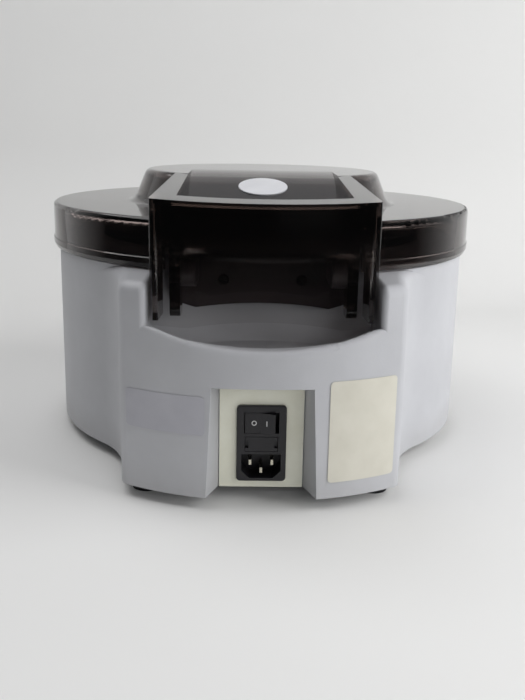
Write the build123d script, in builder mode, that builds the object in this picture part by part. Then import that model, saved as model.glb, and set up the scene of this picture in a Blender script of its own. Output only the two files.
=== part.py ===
from build123d import *

import os
from math import cos, hypot, radians, sin, sqrt, tan

os.makedirs("parts", exist_ok=True)

# Overall sizes, in millimetres. The floor is z = 0 and +Y is the rear.
drum_radius = 157.3
hump_reach = 52.7
console_reach = 14.7
rear_reach = drum_radius + hump_reach
front_reach = drum_radius + console_reach
foot_height = 8.0
shoulder_height = 131.5
deck_rise = 8.5
wall = 3.0
clearance = 0.3
fitting_gap = 1.0
running_fit = 0.05
eps = 0.5

# The origin is under the middle of the whole footprint, so the drum axis stands a little forward.
key_proud = 1.2
drum_y = -(rear_reach - front_reach - key_proud) / 2
body_bottom = foot_height
shoulder_z = body_bottom + shoulder_height
deck_z = shoulder_z + deck_rise

drum_plane = Plane((0, drum_y, 0))
section_plane = Plane(origin=(0, drum_y, 0), x_dir=(1, 0, 0), z_dir=(0, -1, 0))
rear_plane = Plane(origin=(0, drum_y, 0), x_dir=(-1, 0, 0), z_dir=(0, 1, 0))
front_plane = section_plane
side_plane = Plane(origin=(0, drum_y, 0), x_dir=(0, 1, 0), z_dir=(1, 0, 0))
drum_axis = Axis((0, drum_y, 0), (0, 0, 1))

# Lid: disc, skirt, dome and the box that reaches back over the hinge
lid_overhang = 3.7
lid_radius = drum_radius + lid_overhang
lid_wall = 3.5
lid_height = 25.5
lid_top_z = deck_z + lid_height
lid_lip_proud = 0.7
lid_lip_z = deck_z - lid_lip_proud
lid_skirt_gap = 1.3
lid_skirt_z = shoulder_z + lid_skirt_gap
lid_edge_round = 3.0
rim_gap = 2.0
dome_height = 23.9
dome_taper = 10.0
dome_top_z = lid_top_z + dome_height
dome_base_radius = 100.0
dome_top_radius = dome_base_radius - dome_taper
dome_blend = 8.0
dome_round = 5.0
box_root = 38.0
box_front_y = dome_base_radius - box_root
box_corner_round = 2.5
box_rear_half = 69.0
box_taper = 6.0
box_front_half = box_rear_half - box_taper
box_setback = 3.0
box_rear_y = rear_reach - box_setback
box_depth = 59.2
box_bottom_z = lid_top_z - box_depth
box_drop = 8.4
box_rear_top_z = dome_top_z - box_drop
box_arch_half = 46.0
box_arch_rise = 5.7
trough_side = 15.5
trough_half = box_rear_half - trough_side
trough_rim = 19.0
trough_start_y = 40.0
trough_slope = 15.0
trough_bend = 25.0
badge_radius = 17.5
badge_thickness = 0.8
badge_y = 72.0

# Hinge and the pocket that the box swings into
hinge_setback = 42.0
hinge_drop = 5.0
hinge_y = rear_reach - hinge_setback
hinge_z = deck_z - hinge_drop
hinge_pin_radius = 4.0
hinge_bush_radius = 6.5
box_lower_reach = 11.0
box_open_reach = 38.0
box_lower_front_y = hinge_y - box_lower_reach
box_open_y = hinge_y - box_open_reach
pocket_gap = 2.5
pocket_swing_gap = 3.078
pocket_belly = 9.5
pocket_half = box_rear_half + pocket_gap
pocket_mid_radius = hypot(box_rear_y - hinge_y, hinge_z - box_bottom_z) + pocket_swing_gap
pocket_side_radius = pocket_mid_radius - pocket_belly
pocket_floor_depth = 48.0
pocket_lip_drop = 37.0
pocket_lip_rise = 11.5
pocket_lip_mid_z = shoulder_z - pocket_lip_drop
pocket_lip_round = 3.0

# Rear hump and front console, seen from above
hump_shoulder = 17.5
hump_flank = 9.0
hump_depth = 95.0
hump_rear_half = pocket_half + hump_shoulder
hump_root_half = hump_rear_half + hump_flank
hump_root_y = rear_reach - hump_depth
hump_arc_radius = 159.64
hump_corner_radius = 9.0
hump_blend_radius = 72.0
console_half = 66.0
console_flank = 5.0
console_depth = 42.0
console_root_half = console_half + console_flank
console_root_y = front_reach - console_depth
console_corner_radius = 10.0
console_blend_radius = 22.0
top_round = 7.0
hump_arc_y = rear_reach - hump_arc_radius
hump_corner_y = hump_arc_y + sqrt(hump_arc_radius**2 - hump_rear_half**2)

# Lugs, arms and the hinge block
lug_inset = 2.0
lug_inner_x = trough_half - lug_inset
lug_width = 6.5
lug_half_depth = 10.0
lug_tail = 27.0
arm_width = 9.0
arm_radius = 9.0
block_inset = 9.5
block_setback = 37.0
block_half = pocket_half - block_inset
block_back_y = hinge_y - block_setback
block_lower_mid_z = 116.5
block_lower_side_z = 109.5
block_screw_x = 26.0

# Recess and panel for the mains inlet
panel_half = 26.5
panel_height = 68.0
panel_setback = 23.0
panel_y = rear_reach - panel_setback
panel_thickness = 1.5
recess_bottom_splay = 0.372
recess_top_splay = 0.205
recess_head_splay = 0.15
inlet_width = 31.3
inlet_height = 50.2
inlet_lift = 4.8
inlet_low_z = body_bottom + inlet_lift
inlet_flange = 2.5
inlet_body_width = 27.4
inlet_body_height = 46.4
inlet_body_depth = 32.0
socket_width = 25.0
socket_height = 16.0
socket_lift = 2.1
socket_low_z = inlet_low_z + socket_lift
socket_depth = 16.0
socket_chamfer = 5.0
pin_spacing = 7.0
pin_lift = 9.5
earth_pin_lift = 4.1
pin_z = socket_low_z + pin_lift
earth_pin_z = socket_low_z + earth_pin_lift
pin_width = 2.0
pin_height = 4.0
pin_length = 13.0
drawer_width = 21.0
drawer_height = 10.0
drawer_lift = 1.7
drawer_low_z = socket_low_z + socket_height + drawer_lift
drawer_depth = 26.0
drawer_wall = 1.2
fuse_radius = 2.5
rocker_width = 22.0
rocker_height = 13.7
rocker_lift = 2.2
rocker_low_z = drawer_low_z + drawer_height + rocker_lift
rocker_depth = 15.0
rocker_half = 9.6
rocker_front = 5.5
rocker_dip = 1.9
rocker_taper = 1.0
rocker_pivot_radius = 1.2
rocker_pivot_depth = 3.5
rocker_throw = 20.0

# Bare label plates on the hump's back
label_thickness = 0.4
label_gap = 0.1
mark_label_u = -60.0
mark_label_z = 61.0
mark_label_width = 50.0
mark_label_height = 24.5
data_label_u = 62.5
data_label_z = 51.0
data_label_width = 43.0
data_label_height = 65.0
label_round = 2.5

# Rotor chamber
bowl_rim = 47.3
bowl_radius = drum_radius - bowl_rim
bowl_wall = 1.2
bowl_floor_z = 54.0
bowl_corner = 12.0
bowl_flange = 15.0
bowl_flange_radius = bowl_radius + bowl_flange
bowl_cone_base = 50.0
bowl_cone_top = 27.0
bowl_cone_z = 86.0
bowl_hole = 19.0
seal_height = 5.0
seal_half_width = 4.0
seal_inset = 9.5
seal_rib_wall = 3.0
seal_rib_radius = bowl_radius + seal_inset
slot_half_width = 4.5

# Motor, plate and mounts
shaft_radius = 6.0
motor_radius = 36.0
motor_low_z = 15.0
motor_flange_radius = 46.0
plate_z = 40.0
plate_thickness = 4.0
plate_radius = 62.0
motor_flange_height = 4.0
motor_neck_radius = 28.0
motor_shoulder_z = 66.0
motor_top_z = 78.0
bearing_radius = 13.0
bearing_height = 7.0
mount_circle = 53.0
mount_radius = 8.0
mount_waist = 6.0
mount_count = 3
pan_thickness = 2.0

# Rotor, sleeves and retaining knob
place_count = 8
tube_angle = 35.0
rotor_gap = 22.0
rotor_lift = 18.0
sleeve_foot_radius = bowl_radius - rotor_gap
sleeve_foot_z = bowl_floor_z + rotor_lift
sleeve_length = 85.0
sleeve_radius = 9.3
sleeve_bore = 8.5
sleeve_collar = 11.4
sleeve_collar_height = 2.0
sleeve_gap = 0.1
sleeve_seat = 0.8
sleeve_floor = 1.5
rotor_web = 3.2
rotor_hub_radius = 24.0
rotor_hub_z = 96.0
rotor_hub_top_z = 114.0
rotor_dish_z = 106.0
rotor_foot = 4.0
cushion_height = 10.0
knob_radius = 14.0
knob_height = 20.0
knob_flutes = 12
knob_flute = 2.0
knob_base_height = 3.0
shaft_collar = 10.0
shaft_collar_height = 4.0
thread_length = 14.0
thread_point = 1.0
thread_radius = 5.0

# Latch
striker_depth = 14.0
striker_gap = 3.5
striker_y = -(seal_rib_radius + seal_half_width + striker_gap + striker_depth / 2)
striker_thickness = 2.5
striker_low_z = 126.0
striker_foot_width = 24.0
striker_eye_radius = 4.2
striker_eye_z = 134.0
bolt_radius = 3.0
bolt_length = 30.0
latch_guide_length = 8.0
latch_plate_length = 50.0
latch_plate_x = 5.0
slot_half_depth = 8.5
lid_switch_x = 14.0
lid_switch_length = 12.0
lid_switch_width = 8.0
lid_switch_height = 12.0
solenoid_length = 26.0
solenoid_size = 15.0

# Console panel, keys, display and boards
keypad_margin = 7.0
keypad_width = 2 * (console_half - keypad_margin)
keypad_height = 58.0
keypad_z = 80.0
keypad_thickness = 2.0
keypad_round = 6.0
key_width = 16.0
key_height = 12.0
key_row_z = 66.0
key_pitch = 22.0
key_travel = 0.8
display_width = 50.0
display_height = 20.0
display_z = 94.0
board_setback = 15.0
board_y = board_setback - front_reach
board_thickness = 1.6
key_round = 2.0
key_lip = 2.0
key_stem_radius = 2.0
board_width = 112.0
board_height = 56.0
board_edge = 7.0
switch_size = 6.0
switch_height = 4.0
power_x = 56.0
power_y = 126.0
power_width = 46.0
power_length = 56.0
spacer_height = 6.0
transformer_width = 32.0
transformer_length = 22.0
transformer_height = 30.0
capacitor_radius = 7.0
capacitor_pitch = 17.0
capacitor_height = 24.0
sensor_size = 6.0
sensor_height = 4.0

# Vents in the base pan
vent_circle = 10.0
vent_pitch = 11.0
vent_count = 12
vent_length = 8.0
vent_width = 3.0

# Boot and the motor's screws
boot_inner = 14.0
boot_outer = 22.0
boot_waist = 18.0
boot_fold = 2.0
motor_screw_circle = 41.0
motor_screw_count = 4
motor_screw_start = 45.0

# Feet and screws
foot_radius = 12.0
foot_draft = 14.0
front_foot_x = 90.0
front_foot_y = -98.0
foot_inset = 15.0
rear_foot_x = hump_rear_half - foot_inset
rear_foot_y = rear_reach - hinge_setback
screw_radius = 1.9
screw_hole_radius = 2.0
screw_head_radius = 3.6
screw_head_height = 2.2
pan_screw_length = 20.0
foot_screw_length = 5.0
pan_boss_radius = 5.0
pan_boss_inset = 7.3
pan_boss_circle = drum_radius - pan_boss_inset
pan_boss_top = 36.0
pan_boss_angles = (12, 168, 212, 328)

# Places that follow from the sizes above
hinge_axis = Axis((0, drum_y + hinge_y, hinge_z), (1, 0, 0))
hinge_section = Plane(origin=(0, drum_y + hinge_y, hinge_z), x_dir=(1, 0, 0), z_dir=(0, -1, 0))
pocket_floor_z = hinge_z - pocket_floor_depth
box_arc_radius = hump_arc_radius - (rear_reach - box_rear_y)
foot_places = [
    (-front_foot_x, front_foot_y),
    (front_foot_x, front_foot_y),
    (-rear_foot_x, rear_foot_y),
    (rear_foot_x, rear_foot_y),
]
pan_top = body_bottom + pan_thickness
key_names = ("start_key", "stop_key", "down_key", "up_key", "lid_release_key")


# A flat face with straight sides
def outline(*points):
    with BuildSketch() as shape:
        with BuildLine():
            Polyline(*points, close=True)
        make_face()
    return shape.sketch


# Radius of the circle through the ends and the middle of a shallow arch
def arch_radius(half, rise):
    return (half**2 + rise**2) / (2 * rise)


# Plan of the body: the drum, with the hump at the rear and the console at the front blended in
with BuildSketch() as plan:
    Circle(drum_radius)
    with BuildLine():
        hump_left = Line((-hump_root_half, hump_root_y), (-hump_rear_half, hump_corner_y))
        hump_back = ThreePointArc(hump_left @ 1, (0, rear_reach), (hump_rear_half, hump_corner_y))
        hump_right = Line(hump_back @ 1, (hump_root_half, hump_root_y))
        Line(hump_right @ 1, hump_left @ 0)
    make_face()
    with BuildLine():
        Polyline(
            (-console_root_half, -console_root_y),
            (-console_half, -front_reach),
            (console_half, -front_reach),
            (console_root_half, -console_root_y),
            close=True,
        )
    make_face()
    fillet(vertices().filter_by(lambda v: v.Y > hump_corner_y - eps), radius=hump_corner_radius)
    fillet(vertices().filter_by(lambda v: v.Y < eps - front_reach), radius=console_corner_radius)
    fillet(
        vertices().filter_by(lambda v: hump_root_y < v.Y and abs(hypot(v.X, v.Y) - drum_radius) < eps),
        radius=hump_blend_radius,
    )
    fillet(
        vertices().filter_by(lambda v: v.Y < -console_root_y and abs(hypot(v.X, v.Y) - drum_radius) < eps),
        radius=console_blend_radius,
    )
with BuildSketch() as inner_plan:
    add(plan.sketch)
    offset(amount=-wall)


# The pocket, made larger all round by grow where a wall has to follow it
def pocket_space(grow):
    half = pocket_half + grow
    with BuildPart() as space:
        with BuildSketch(hinge_section):
            with BuildLine():
                start = Line((-half, 0), (-half, pocket_side_radius + grow))
                top = ThreePointArc(
                    start @ 1, (0, pocket_mid_radius + grow), (half, pocket_side_radius + grow)
                )
                end = Line(top @ 1, (half, 0))
                Line(end @ 1, start @ 0)
            make_face()
        revolve(axis=hinge_axis)
        with BuildSketch(drum_plane.offset(pocket_floor_z - grow)):
            with Locations((0, hinge_y)):
                Rectangle(4 * half, 4 * half)
        extrude(amount=4 * half, mode=Mode.INTERSECT)
        with BuildSketch(rear_plane.offset(hinge_y)):
            with BuildLine():
                floor = ThreePointArc(
                    (-half, pocket_lip_mid_z - grow + pocket_lip_rise),
                    (0, pocket_lip_mid_z - grow),
                    (half, pocket_lip_mid_z - grow + pocket_lip_rise),
                )
                rise = Line(floor @ 1, (half, deck_z + wall))
                across = Line(rise @ 1, (-half, deck_z + wall))
                Line(across @ 1, floor @ 0)
            make_face()
        extrude(amount=rear_reach - hinge_y + grow)
    return space.part


# The splayed recess in the hump that holds the inlet panel
def recess_space(grow):
    back = panel_y - panel_thickness
    reach = rear_reach - back + wall
    low = body_bottom - wall
    high = body_bottom + panel_height
    half = panel_half + clearance
    with BuildPart() as space:
        with BuildSketch(rear_plane.offset(back - grow)):
            add(outline(
                (-half - grow, low),
                (half + grow, low),
                (half + grow, high + grow),
                (-half - grow, high + grow),
            ))
        with BuildSketch(rear_plane.offset(back + reach)):
            bottom_half = half + grow + recess_bottom_splay * reach
            top_half = half + grow + recess_top_splay * reach
            top = high + grow + recess_head_splay * reach
            add(outline((-bottom_half, low), (bottom_half, low), (top_half, top), (-top_half, top)))
        loft()
    return space.part


housing_pocket = pocket_space(0)
pocket_backing = pocket_space(wall)
housing_recess = recess_space(0)
recess_backing = recess_space(wall)

# The hollow inside the housing keeps one wall's thickness behind the pocket, recess and console
with BuildPart() as housing_hollow:
    with BuildSketch(drum_plane.offset(body_bottom - wall)):
        add(inner_plan.sketch)
    extrude(amount=shoulder_height)
    with BuildSketch(drum_plane.offset(body_bottom)):
        Circle(drum_radius - rim_gap - 2 * wall)
    extrude(amount=shoulder_height + deck_rise - wall)
    add(pocket_backing, mode=Mode.SUBTRACT)
    add(recess_backing, mode=Mode.SUBTRACT)
    with BuildSketch(front_plane.offset(front_reach - keypad_thickness - wall)):
        with Locations((0, keypad_z)):
            Rectangle(keypad_width + 2 * wall, keypad_height + 2 * wall)
    extrude(amount=wall, mode=Mode.SUBTRACT)

# Moulded housing: drum, hump and console in one shell, open below
with BuildPart() as housing:
    with BuildSketch(drum_plane.offset(body_bottom)):
        add(plan.sketch)
    extrude(amount=shoulder_height)
    fillet(edges().group_by(Axis.Z)[-1], radius=top_round)
    with BuildSketch(drum_plane.offset(body_bottom)):
        Circle(drum_radius)
    extrude(amount=shoulder_height)
    with BuildSketch(drum_plane.offset(shoulder_z)):
        Circle(drum_radius - rim_gap)
    extrude(amount=deck_rise)
    add(housing_hollow.part, mode=Mode.SUBTRACT)
    add(housing_pocket, mode=Mode.SUBTRACT)
    # rounded lip of the pocket
    lip_edges = edges().filter_by(
        lambda e: abs(hypot(e.center().X, e.center().Y - drum_y - hump_arc_y) - hump_arc_radius) < eps
        and e.center().Z > pocket_lip_mid_z - eps
        and abs(e.center().X) < pocket_half + eps
    )
    fillet(lip_edges, radius=pocket_lip_round)
    add(housing_recess, mode=Mode.SUBTRACT)
    # chamber opening
    with BuildSketch(drum_plane.offset(deck_z + eps)):
        Circle(bowl_radius + bowl_wall + clearance)
    extrude(amount=-(wall + deck_rise + 2 * eps), mode=Mode.SUBTRACT)
    # slot for the lid's striker
    with BuildSketch(drum_plane.offset(deck_z + eps)):
        with Locations((0, striker_y)):
            Rectangle(2 * slot_half_width, 2 * slot_half_depth)
    extrude(amount=-(wall + 2 * eps), mode=Mode.SUBTRACT)
    # seat and window of the keypad panel
    with BuildSketch(front_plane.offset(front_reach - keypad_thickness)):
        with Locations((0, keypad_z)):
            RectangleRounded(keypad_width + clearance, keypad_height + clearance, keypad_round)
    extrude(amount=2 * keypad_thickness, mode=Mode.SUBTRACT)
    with BuildSketch(front_plane.offset(front_reach + eps)):
        with Locations((0, keypad_z)):
            Rectangle(keypad_width - 4 * wall, keypad_height - 3 * wall)
    extrude(amount=-(keypad_thickness + wall + 2 * eps), mode=Mode.SUBTRACT)
    # window for the inlet body
    with BuildSketch(rear_plane.offset(panel_y)):
        with Locations((0, inlet_low_z + inlet_height / 2)):
            Rectangle(inlet_body_width + 2 * fitting_gap, inlet_body_height + 2 * fitting_gap)
    extrude(amount=-(panel_thickness + wall + eps), mode=Mode.SUBTRACT)
    # posts that take the base pan's screws
    with BuildSketch(drum_plane.offset(pan_top)):
        for angle in pan_boss_angles:
            with PolarLocations(pan_boss_circle, 1, start_angle=angle):
                Circle(pan_boss_radius)
    extrude(amount=pan_boss_top - pan_top)
    with BuildSketch(drum_plane.offset(pan_top - eps)):
        for angle in pan_boss_angles:
            with PolarLocations(pan_boss_circle, 1, start_angle=angle):
                Circle(screw_hole_radius)
    extrude(amount=pan_boss_top - pan_top - wall, mode=Mode.SUBTRACT)
housing.part.label = "housing"
export_step(housing.part, "parts/housing.step")


# The lid's outer form, or that form drawn in by one wall for the hollow under it
def lid_form(inset, lower_front_y):
    cone_slope = (dome_base_radius - dome_top_radius) / (dome_top_z - lid_top_z)
    cone_skin = inset * sqrt(1 + cone_slope**2)
    disc_top = lid_top_z - inset
    dome_top = dome_top_z - inset
    base_radius = dome_base_radius + cone_slope * inset - cone_skin
    top_radius = dome_top_radius + cone_slope * inset - cone_skin
    disc_radius = lid_radius - inset
    band_radius = disc_radius + (0 if inset else lid_lip_proud)
    skirt = lid_skirt_z - inset
    with BuildPart() as form:
        with BuildSketch(section_plane):
            with BuildLine():
                Polyline(
                    (0, skirt),
                    (disc_radius - (0 if inset else lid_lip_proud), skirt),
                    (band_radius, skirt + lid_edge_round),
                    (band_radius, lid_lip_z),
                    (disc_radius, lid_lip_z + lid_lip_proud),
                    (disc_radius, disc_top),
                    (base_radius, disc_top),
                    (top_radius, dome_top),
                    (0, dome_top),
                    close=True,
                )
            make_face()
            fillet(vertices().filter_by(lambda v: abs(v.X - base_radius) < eps), radius=dome_blend)
            fillet(vertices().filter_by(lambda v: abs(v.X - top_radius) < eps), radius=dome_round)
            rim = vertices().filter_by(lambda v: v.X > disc_radius - eps and v.Y > disc_top - eps)
            fillet(rim, radius=lid_edge_round)
        revolve(axis=drum_axis)
        add(lid_box(inset, lower_front_y))
        add(lid_trough(inset), mode=Mode.SUBTRACT)
    return form.part


# The box that reaches back from the dome over the hinge
def lid_box(inset, lower_front_y):
    reach = box_rear_y - inset
    low = box_bottom_z - inset
    arc_radius = box_arc_radius - inset
    rear_half = box_rear_half - inset
    front_half = box_front_half - inset
    corner_y = hump_arc_y + sqrt(arc_radius**2 - rear_half**2)
    top_slope = (dome_top_z - box_rear_top_z) / (box_rear_y - box_front_y)
    with BuildPart() as box:
        with BuildSketch(side_plane):
            with BuildLine():
                Polyline(
                    (box_front_y, lid_top_z - eps - inset),
                    (lower_front_y, lid_top_z - eps - inset),
                    (lower_front_y, low),
                    (reach, low),
                    (reach, box_rear_top_z - inset + top_slope * inset),
                    (box_front_y, dome_top_z - inset),
                    close=True,
                )
            make_face()
        extrude(amount=box_rear_half, both=True)
        with BuildSketch(drum_plane.offset(low)):
            with BuildLine():
                left = Line((-front_half, box_front_y), (-rear_half, corner_y))
                back = ThreePointArc(left @ 1, (0, reach), (rear_half, corner_y))
                right = Line(back @ 1, (front_half, box_front_y))
                Line(right @ 1, left @ 0)
            make_face()
            corners = vertices().filter_by(lambda v: v.Y > corner_y - eps)
            fillet(corners, radius=box_corner_round)
        extrude(amount=dome_top_z, mode=Mode.INTERSECT)
    return box.part


# The open trough in the top of the box, with its floor running down to the rear
def lid_trough(inset):
    drop = inset / cos(radians(trough_slope))
    half = trough_half + inset
    top = dome_top_z - drop
    slope = tan(radians(trough_slope))
    bend_rear_y = trough_start_y + trough_bend * cos(radians(trough_slope))
    bend_rear_z = top - trough_bend * sin(radians(trough_slope))
    floor_rear_z = top - slope * (rear_reach - trough_start_y)
    with BuildPart() as trough:
        with BuildSketch(side_plane):
            with BuildLine():
                bend = TangentArc(
                    (trough_start_y - trough_bend, top), (bend_rear_y, bend_rear_z), tangent=(1, 0)
                )
                floor = Line(bend @ 1, (rear_reach, floor_rear_z))
                rise = Line(floor @ 1, (rear_reach, dome_top_z + wall))
                over = Line(rise @ 1, (trough_start_y - trough_bend, dome_top_z + wall))
                Line(over @ 1, bend @ 0)
            make_face()
        extrude(amount=half, both=True)
        with BuildSketch(drum_plane.offset(deck_z)):
            with Locations((0, hump_arc_y)):
                Circle(box_arc_radius - trough_rim + inset)
        extrude(amount=dome_top_z, mode=Mode.INTERSECT)
    return trough.part


lid_outside = lid_form(0, box_lower_front_y)
lid_hollow = lid_form(lid_wall, box_open_y)
seal_top_z = deck_z + bowl_wall + seal_height

# What stands under the lid: the ring that meets the seal and the two hinge lugs
with BuildPart() as lid_inside:
    with BuildSketch(drum_plane.offset(seal_top_z + clearance)):
        Circle(seal_rib_radius + seal_rib_wall / 2)
        Circle(seal_rib_radius - seal_rib_wall / 2, mode=Mode.SUBTRACT)
    extrude(amount=dome_top_z - seal_top_z)
    for side in (-1, 1):
        with BuildSketch(side_plane.offset(side * (lug_inner_x + lug_width / 2))):
            with BuildLine():
                Polyline(
                    (hinge_y - lug_half_depth, hinge_z - lug_tail),
                    (hinge_y + lug_half_depth, hinge_z - lug_tail),
                    (hinge_y + lug_half_depth, dome_top_z),
                    (hinge_y - lug_half_depth, dome_top_z),
                    close=True,
                )
            make_face()
            fillet(vertices().group_by(Axis.Y)[0], radius=lug_half_depth / 2)
        extrude(amount=lug_width / 2, both=True)
    add(lid_outside, mode=Mode.INTERSECT)

# Lid: one moulding in smoked polycarbonate
with BuildPart() as lid:
    add(lid_outside)
    add(lid_hollow, mode=Mode.SUBTRACT)
    add(lid_inside.part)
    with BuildSketch(side_plane):
        with Locations((hinge_y, hinge_z)):
            Circle(hinge_bush_radius)
    extrude(amount=lug_inner_x + lug_width + eps, both=True, mode=Mode.SUBTRACT)
    with BuildSketch(rear_plane.offset(hinge_y + lug_half_depth)):
        arch = arch_radius(box_arch_half, box_arch_rise)
        with Locations((0, box_bottom_z + box_arch_rise - arch)):
            Circle(arch)
    extrude(amount=rear_reach - hinge_y, mode=Mode.SUBTRACT)
lid.part.label = "lid"
export_step(lid.part, "parts/lid.step")

# Bushes in the lugs, which turn on the hinge pins
with BuildPart() as hinge_bushes:
    for side in (-1, 1):
        with BuildSketch(side_plane.offset(side * (lug_inner_x + lug_width / 2))):
            with Locations((hinge_y, hinge_z)):
                Circle(hinge_bush_radius)
                Circle(hinge_pin_radius + running_fit, mode=Mode.SUBTRACT)
        extrude(amount=lug_width / 2, both=True)
hinge_bushes.part.label = "hinge_bushes"
export_step(hinge_bushes.part, "parts/hinge_bushes.step")

# Bare round badge on the slope of the trough
badge_slope = radians(trough_slope)
badge_z = dome_top_z - tan(badge_slope) * (badge_y - trough_start_y)
badge_plane = Plane(
    origin=(0, drum_y + badge_y, badge_z), x_dir=(1, 0, 0), z_dir=(0, sin(badge_slope), cos(badge_slope))
)
with BuildPart() as badge:
    with BuildSketch(badge_plane):
        Circle(badge_radius)
    extrude(amount=badge_thickness)
    fillet(edges().group_by(Axis.Z)[-1], radius=badge_thickness / 3)
badge.part.label = "badge"
export_step(badge.part, "parts/badge.step")

# Striker: a steel blade under the front of the lid, with an eye for the latch bolt
with BuildPart() as striker:
    with BuildSketch(side_plane):
        with BuildLine():
            Polyline(
                (striker_y - striker_depth / 2, striker_low_z),
                (striker_y + striker_depth / 2, striker_low_z),
                (striker_y + striker_depth / 2, lid_top_z - lid_wall),
                (striker_y - striker_depth / 2, lid_top_z - lid_wall),
                close=True,
            )
        make_face()
        fillet(vertices().group_by(Axis.Y)[0], radius=striker_depth / 4)
        with Locations((striker_y, striker_eye_z)):
            Circle(striker_eye_radius, mode=Mode.SUBTRACT)
    extrude(amount=striker_thickness / 2, both=True)
    with BuildSketch(drum_plane.offset(lid_top_z - lid_wall)):
        with Locations((0, striker_y)):
            RectangleRounded(striker_foot_width, striker_depth, wall)
            with Locations((-striker_foot_width / 3, 0), (striker_foot_width / 3, 0)):
                Circle(screw_hole_radius, mode=Mode.SUBTRACT)
    extrude(amount=-striker_thickness)
striker.part.label = "striker"
export_step(striker.part, "parts/striker.step")

# Screws that hold the striker up against the lid
with BuildPart() as striker_screws:
    with BuildSketch(drum_plane.offset(lid_top_z - lid_wall - striker_thickness)):
        with Locations((0, striker_y)):
            with Locations((-striker_foot_width / 3, 0), (striker_foot_width / 3, 0)):
                Circle(screw_head_radius - clearance)
    extrude(amount=-screw_head_height)
    with BuildSketch(drum_plane.offset(lid_top_z - lid_wall - striker_thickness)):
        with Locations((0, striker_y)):
            with Locations((-striker_foot_width / 3, 0), (striker_foot_width / 3, 0)):
                Circle(screw_radius)
    extrude(amount=striker_thickness)
striker_screws.part.label = "striker_screws"
export_step(striker_screws.part, "parts/striker_screws.step")

# Hinge block: a dark moulding on the pocket's front wall, with an arm beside each lug
with BuildPart() as hinge_block:
    with BuildSketch(front_plane.offset(-block_back_y)):
        with BuildLine():
            under = ThreePointArc(
                (-block_half, block_lower_side_z), (0, block_lower_mid_z), (block_half, block_lower_side_z)
            )
            up = Line(under @ 1, (block_half, deck_z))
            over = Line(up @ 1, (-block_half, deck_z))
            Line(over @ 1, under @ 0)
        make_face()
    extrude(amount=block_back_y - bowl_radius)
    for side in (-1, 1):
        with BuildSketch(side_plane.offset(side * (lug_inner_x - clearance - arm_width / 2))):
            with Locations((hinge_y, hinge_z)):
                Circle(arm_radius)
            with Locations(((hinge_y + block_back_y) / 2, hinge_z)):
                Rectangle(hinge_y - block_back_y, 2 * arm_radius)
            with Locations(((block_back_y + bowl_radius) / 2, hinge_z - arm_radius)):
                Rectangle(block_back_y - bowl_radius, 2 * arm_radius)
        extrude(amount=arm_width / 2, both=True)
        with BuildSketch(side_plane.offset(side * (lug_inner_x - clearance - arm_width / 2))):
            with Locations((hinge_y, hinge_z)):
                Circle(hinge_pin_radius + running_fit)
        extrude(amount=arm_width, both=True, mode=Mode.SUBTRACT)
    add(pocket_space(-clearance / 2), mode=Mode.INTERSECT)
hinge_block.part.label = "hinge_block"
export_step(hinge_block.part, "parts/hinge_block.step")

# Hinge pins, each pressed through an arm and reaching into the lug's bush
with BuildPart() as hinge_pins:
    for side in (-1, 1):
        pin_middle = lug_inner_x + (lug_width - arm_width - clearance) / 2
        with BuildSketch(side_plane.offset(side * pin_middle)):
            with Locations((hinge_y, hinge_z)):
                Circle(hinge_pin_radius)
        extrude(amount=(lug_width + arm_width + clearance) / 2, both=True)
hinge_pins.part.label = "hinge_pins"
export_step(hinge_pins.part, "parts/hinge_pins.step")

# Inlet panel: a plain plate with a window for the inlet
inlet_mid_z = inlet_low_z + inlet_height / 2
with BuildPart() as inlet_panel:
    with BuildSketch(rear_plane.offset(panel_y - panel_thickness)):
        with Locations((0, body_bottom + (panel_height - clearance) / 2)):
            Rectangle(2 * panel_half, panel_height - clearance)
        with Locations((0, inlet_mid_z)):
            Rectangle(inlet_body_width + clearance, inlet_body_height + clearance, mode=Mode.SUBTRACT)
    extrude(amount=panel_thickness)
inlet_panel.part.label = "inlet_panel"
export_step(inlet_panel.part, "parts/inlet_panel.step")

# Mains inlet: flange and body with the socket, the fuse drawer's slot and the rocker's well
inlet_face_y = panel_y + inlet_flange
rocker_mid_z = rocker_low_z + rocker_height / 2
rocker_pivot_y = inlet_face_y - rocker_pivot_depth
drawer_mid_z = drawer_low_z + drawer_height / 2
with BuildPart() as inlet:
    with BuildSketch(rear_plane.offset(panel_y)):
        with Locations((0, inlet_mid_z)):
            RectangleRounded(inlet_width, inlet_height, inlet_flange)
    extrude(amount=inlet_flange)
    fillet(edges().group_by(Axis.Y)[-1], radius=inlet_flange / 4)
    with BuildSketch(rear_plane.offset(panel_y)):
        with Locations((0, inlet_mid_z)):
            Rectangle(inlet_body_width, inlet_body_height)
    extrude(amount=-inlet_body_depth)
    with BuildSketch(rear_plane.offset(inlet_face_y)):
        with Locations((0, socket_low_z + socket_height / 2)):
            Rectangle(socket_width, socket_height)
        chamfer(vertices().group_by(Axis.Y)[0], length=socket_chamfer)
    extrude(amount=-socket_depth, mode=Mode.SUBTRACT)
    with BuildSketch(rear_plane.offset(inlet_face_y)):
        with Locations((0, drawer_mid_z)):
            Rectangle(drawer_width, drawer_height)
    extrude(amount=-drawer_depth, mode=Mode.SUBTRACT)
    with BuildSketch(rear_plane.offset(inlet_face_y)):
        with Locations((0, rocker_mid_z)):
            Rectangle(rocker_width, rocker_height)
    extrude(amount=-rocker_depth, mode=Mode.SUBTRACT)
    with BuildSketch(drum_plane.offset(rocker_mid_z)):
        with Locations((0, rocker_pivot_y)):
            Circle(rocker_pivot_radius + running_fit)
    extrude(amount=rocker_height / 2 + rocker_pivot_radius, both=True, mode=Mode.SUBTRACT)
inlet.part.label = "inlet"
export_step(inlet.part, "parts/inlet.step")

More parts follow.
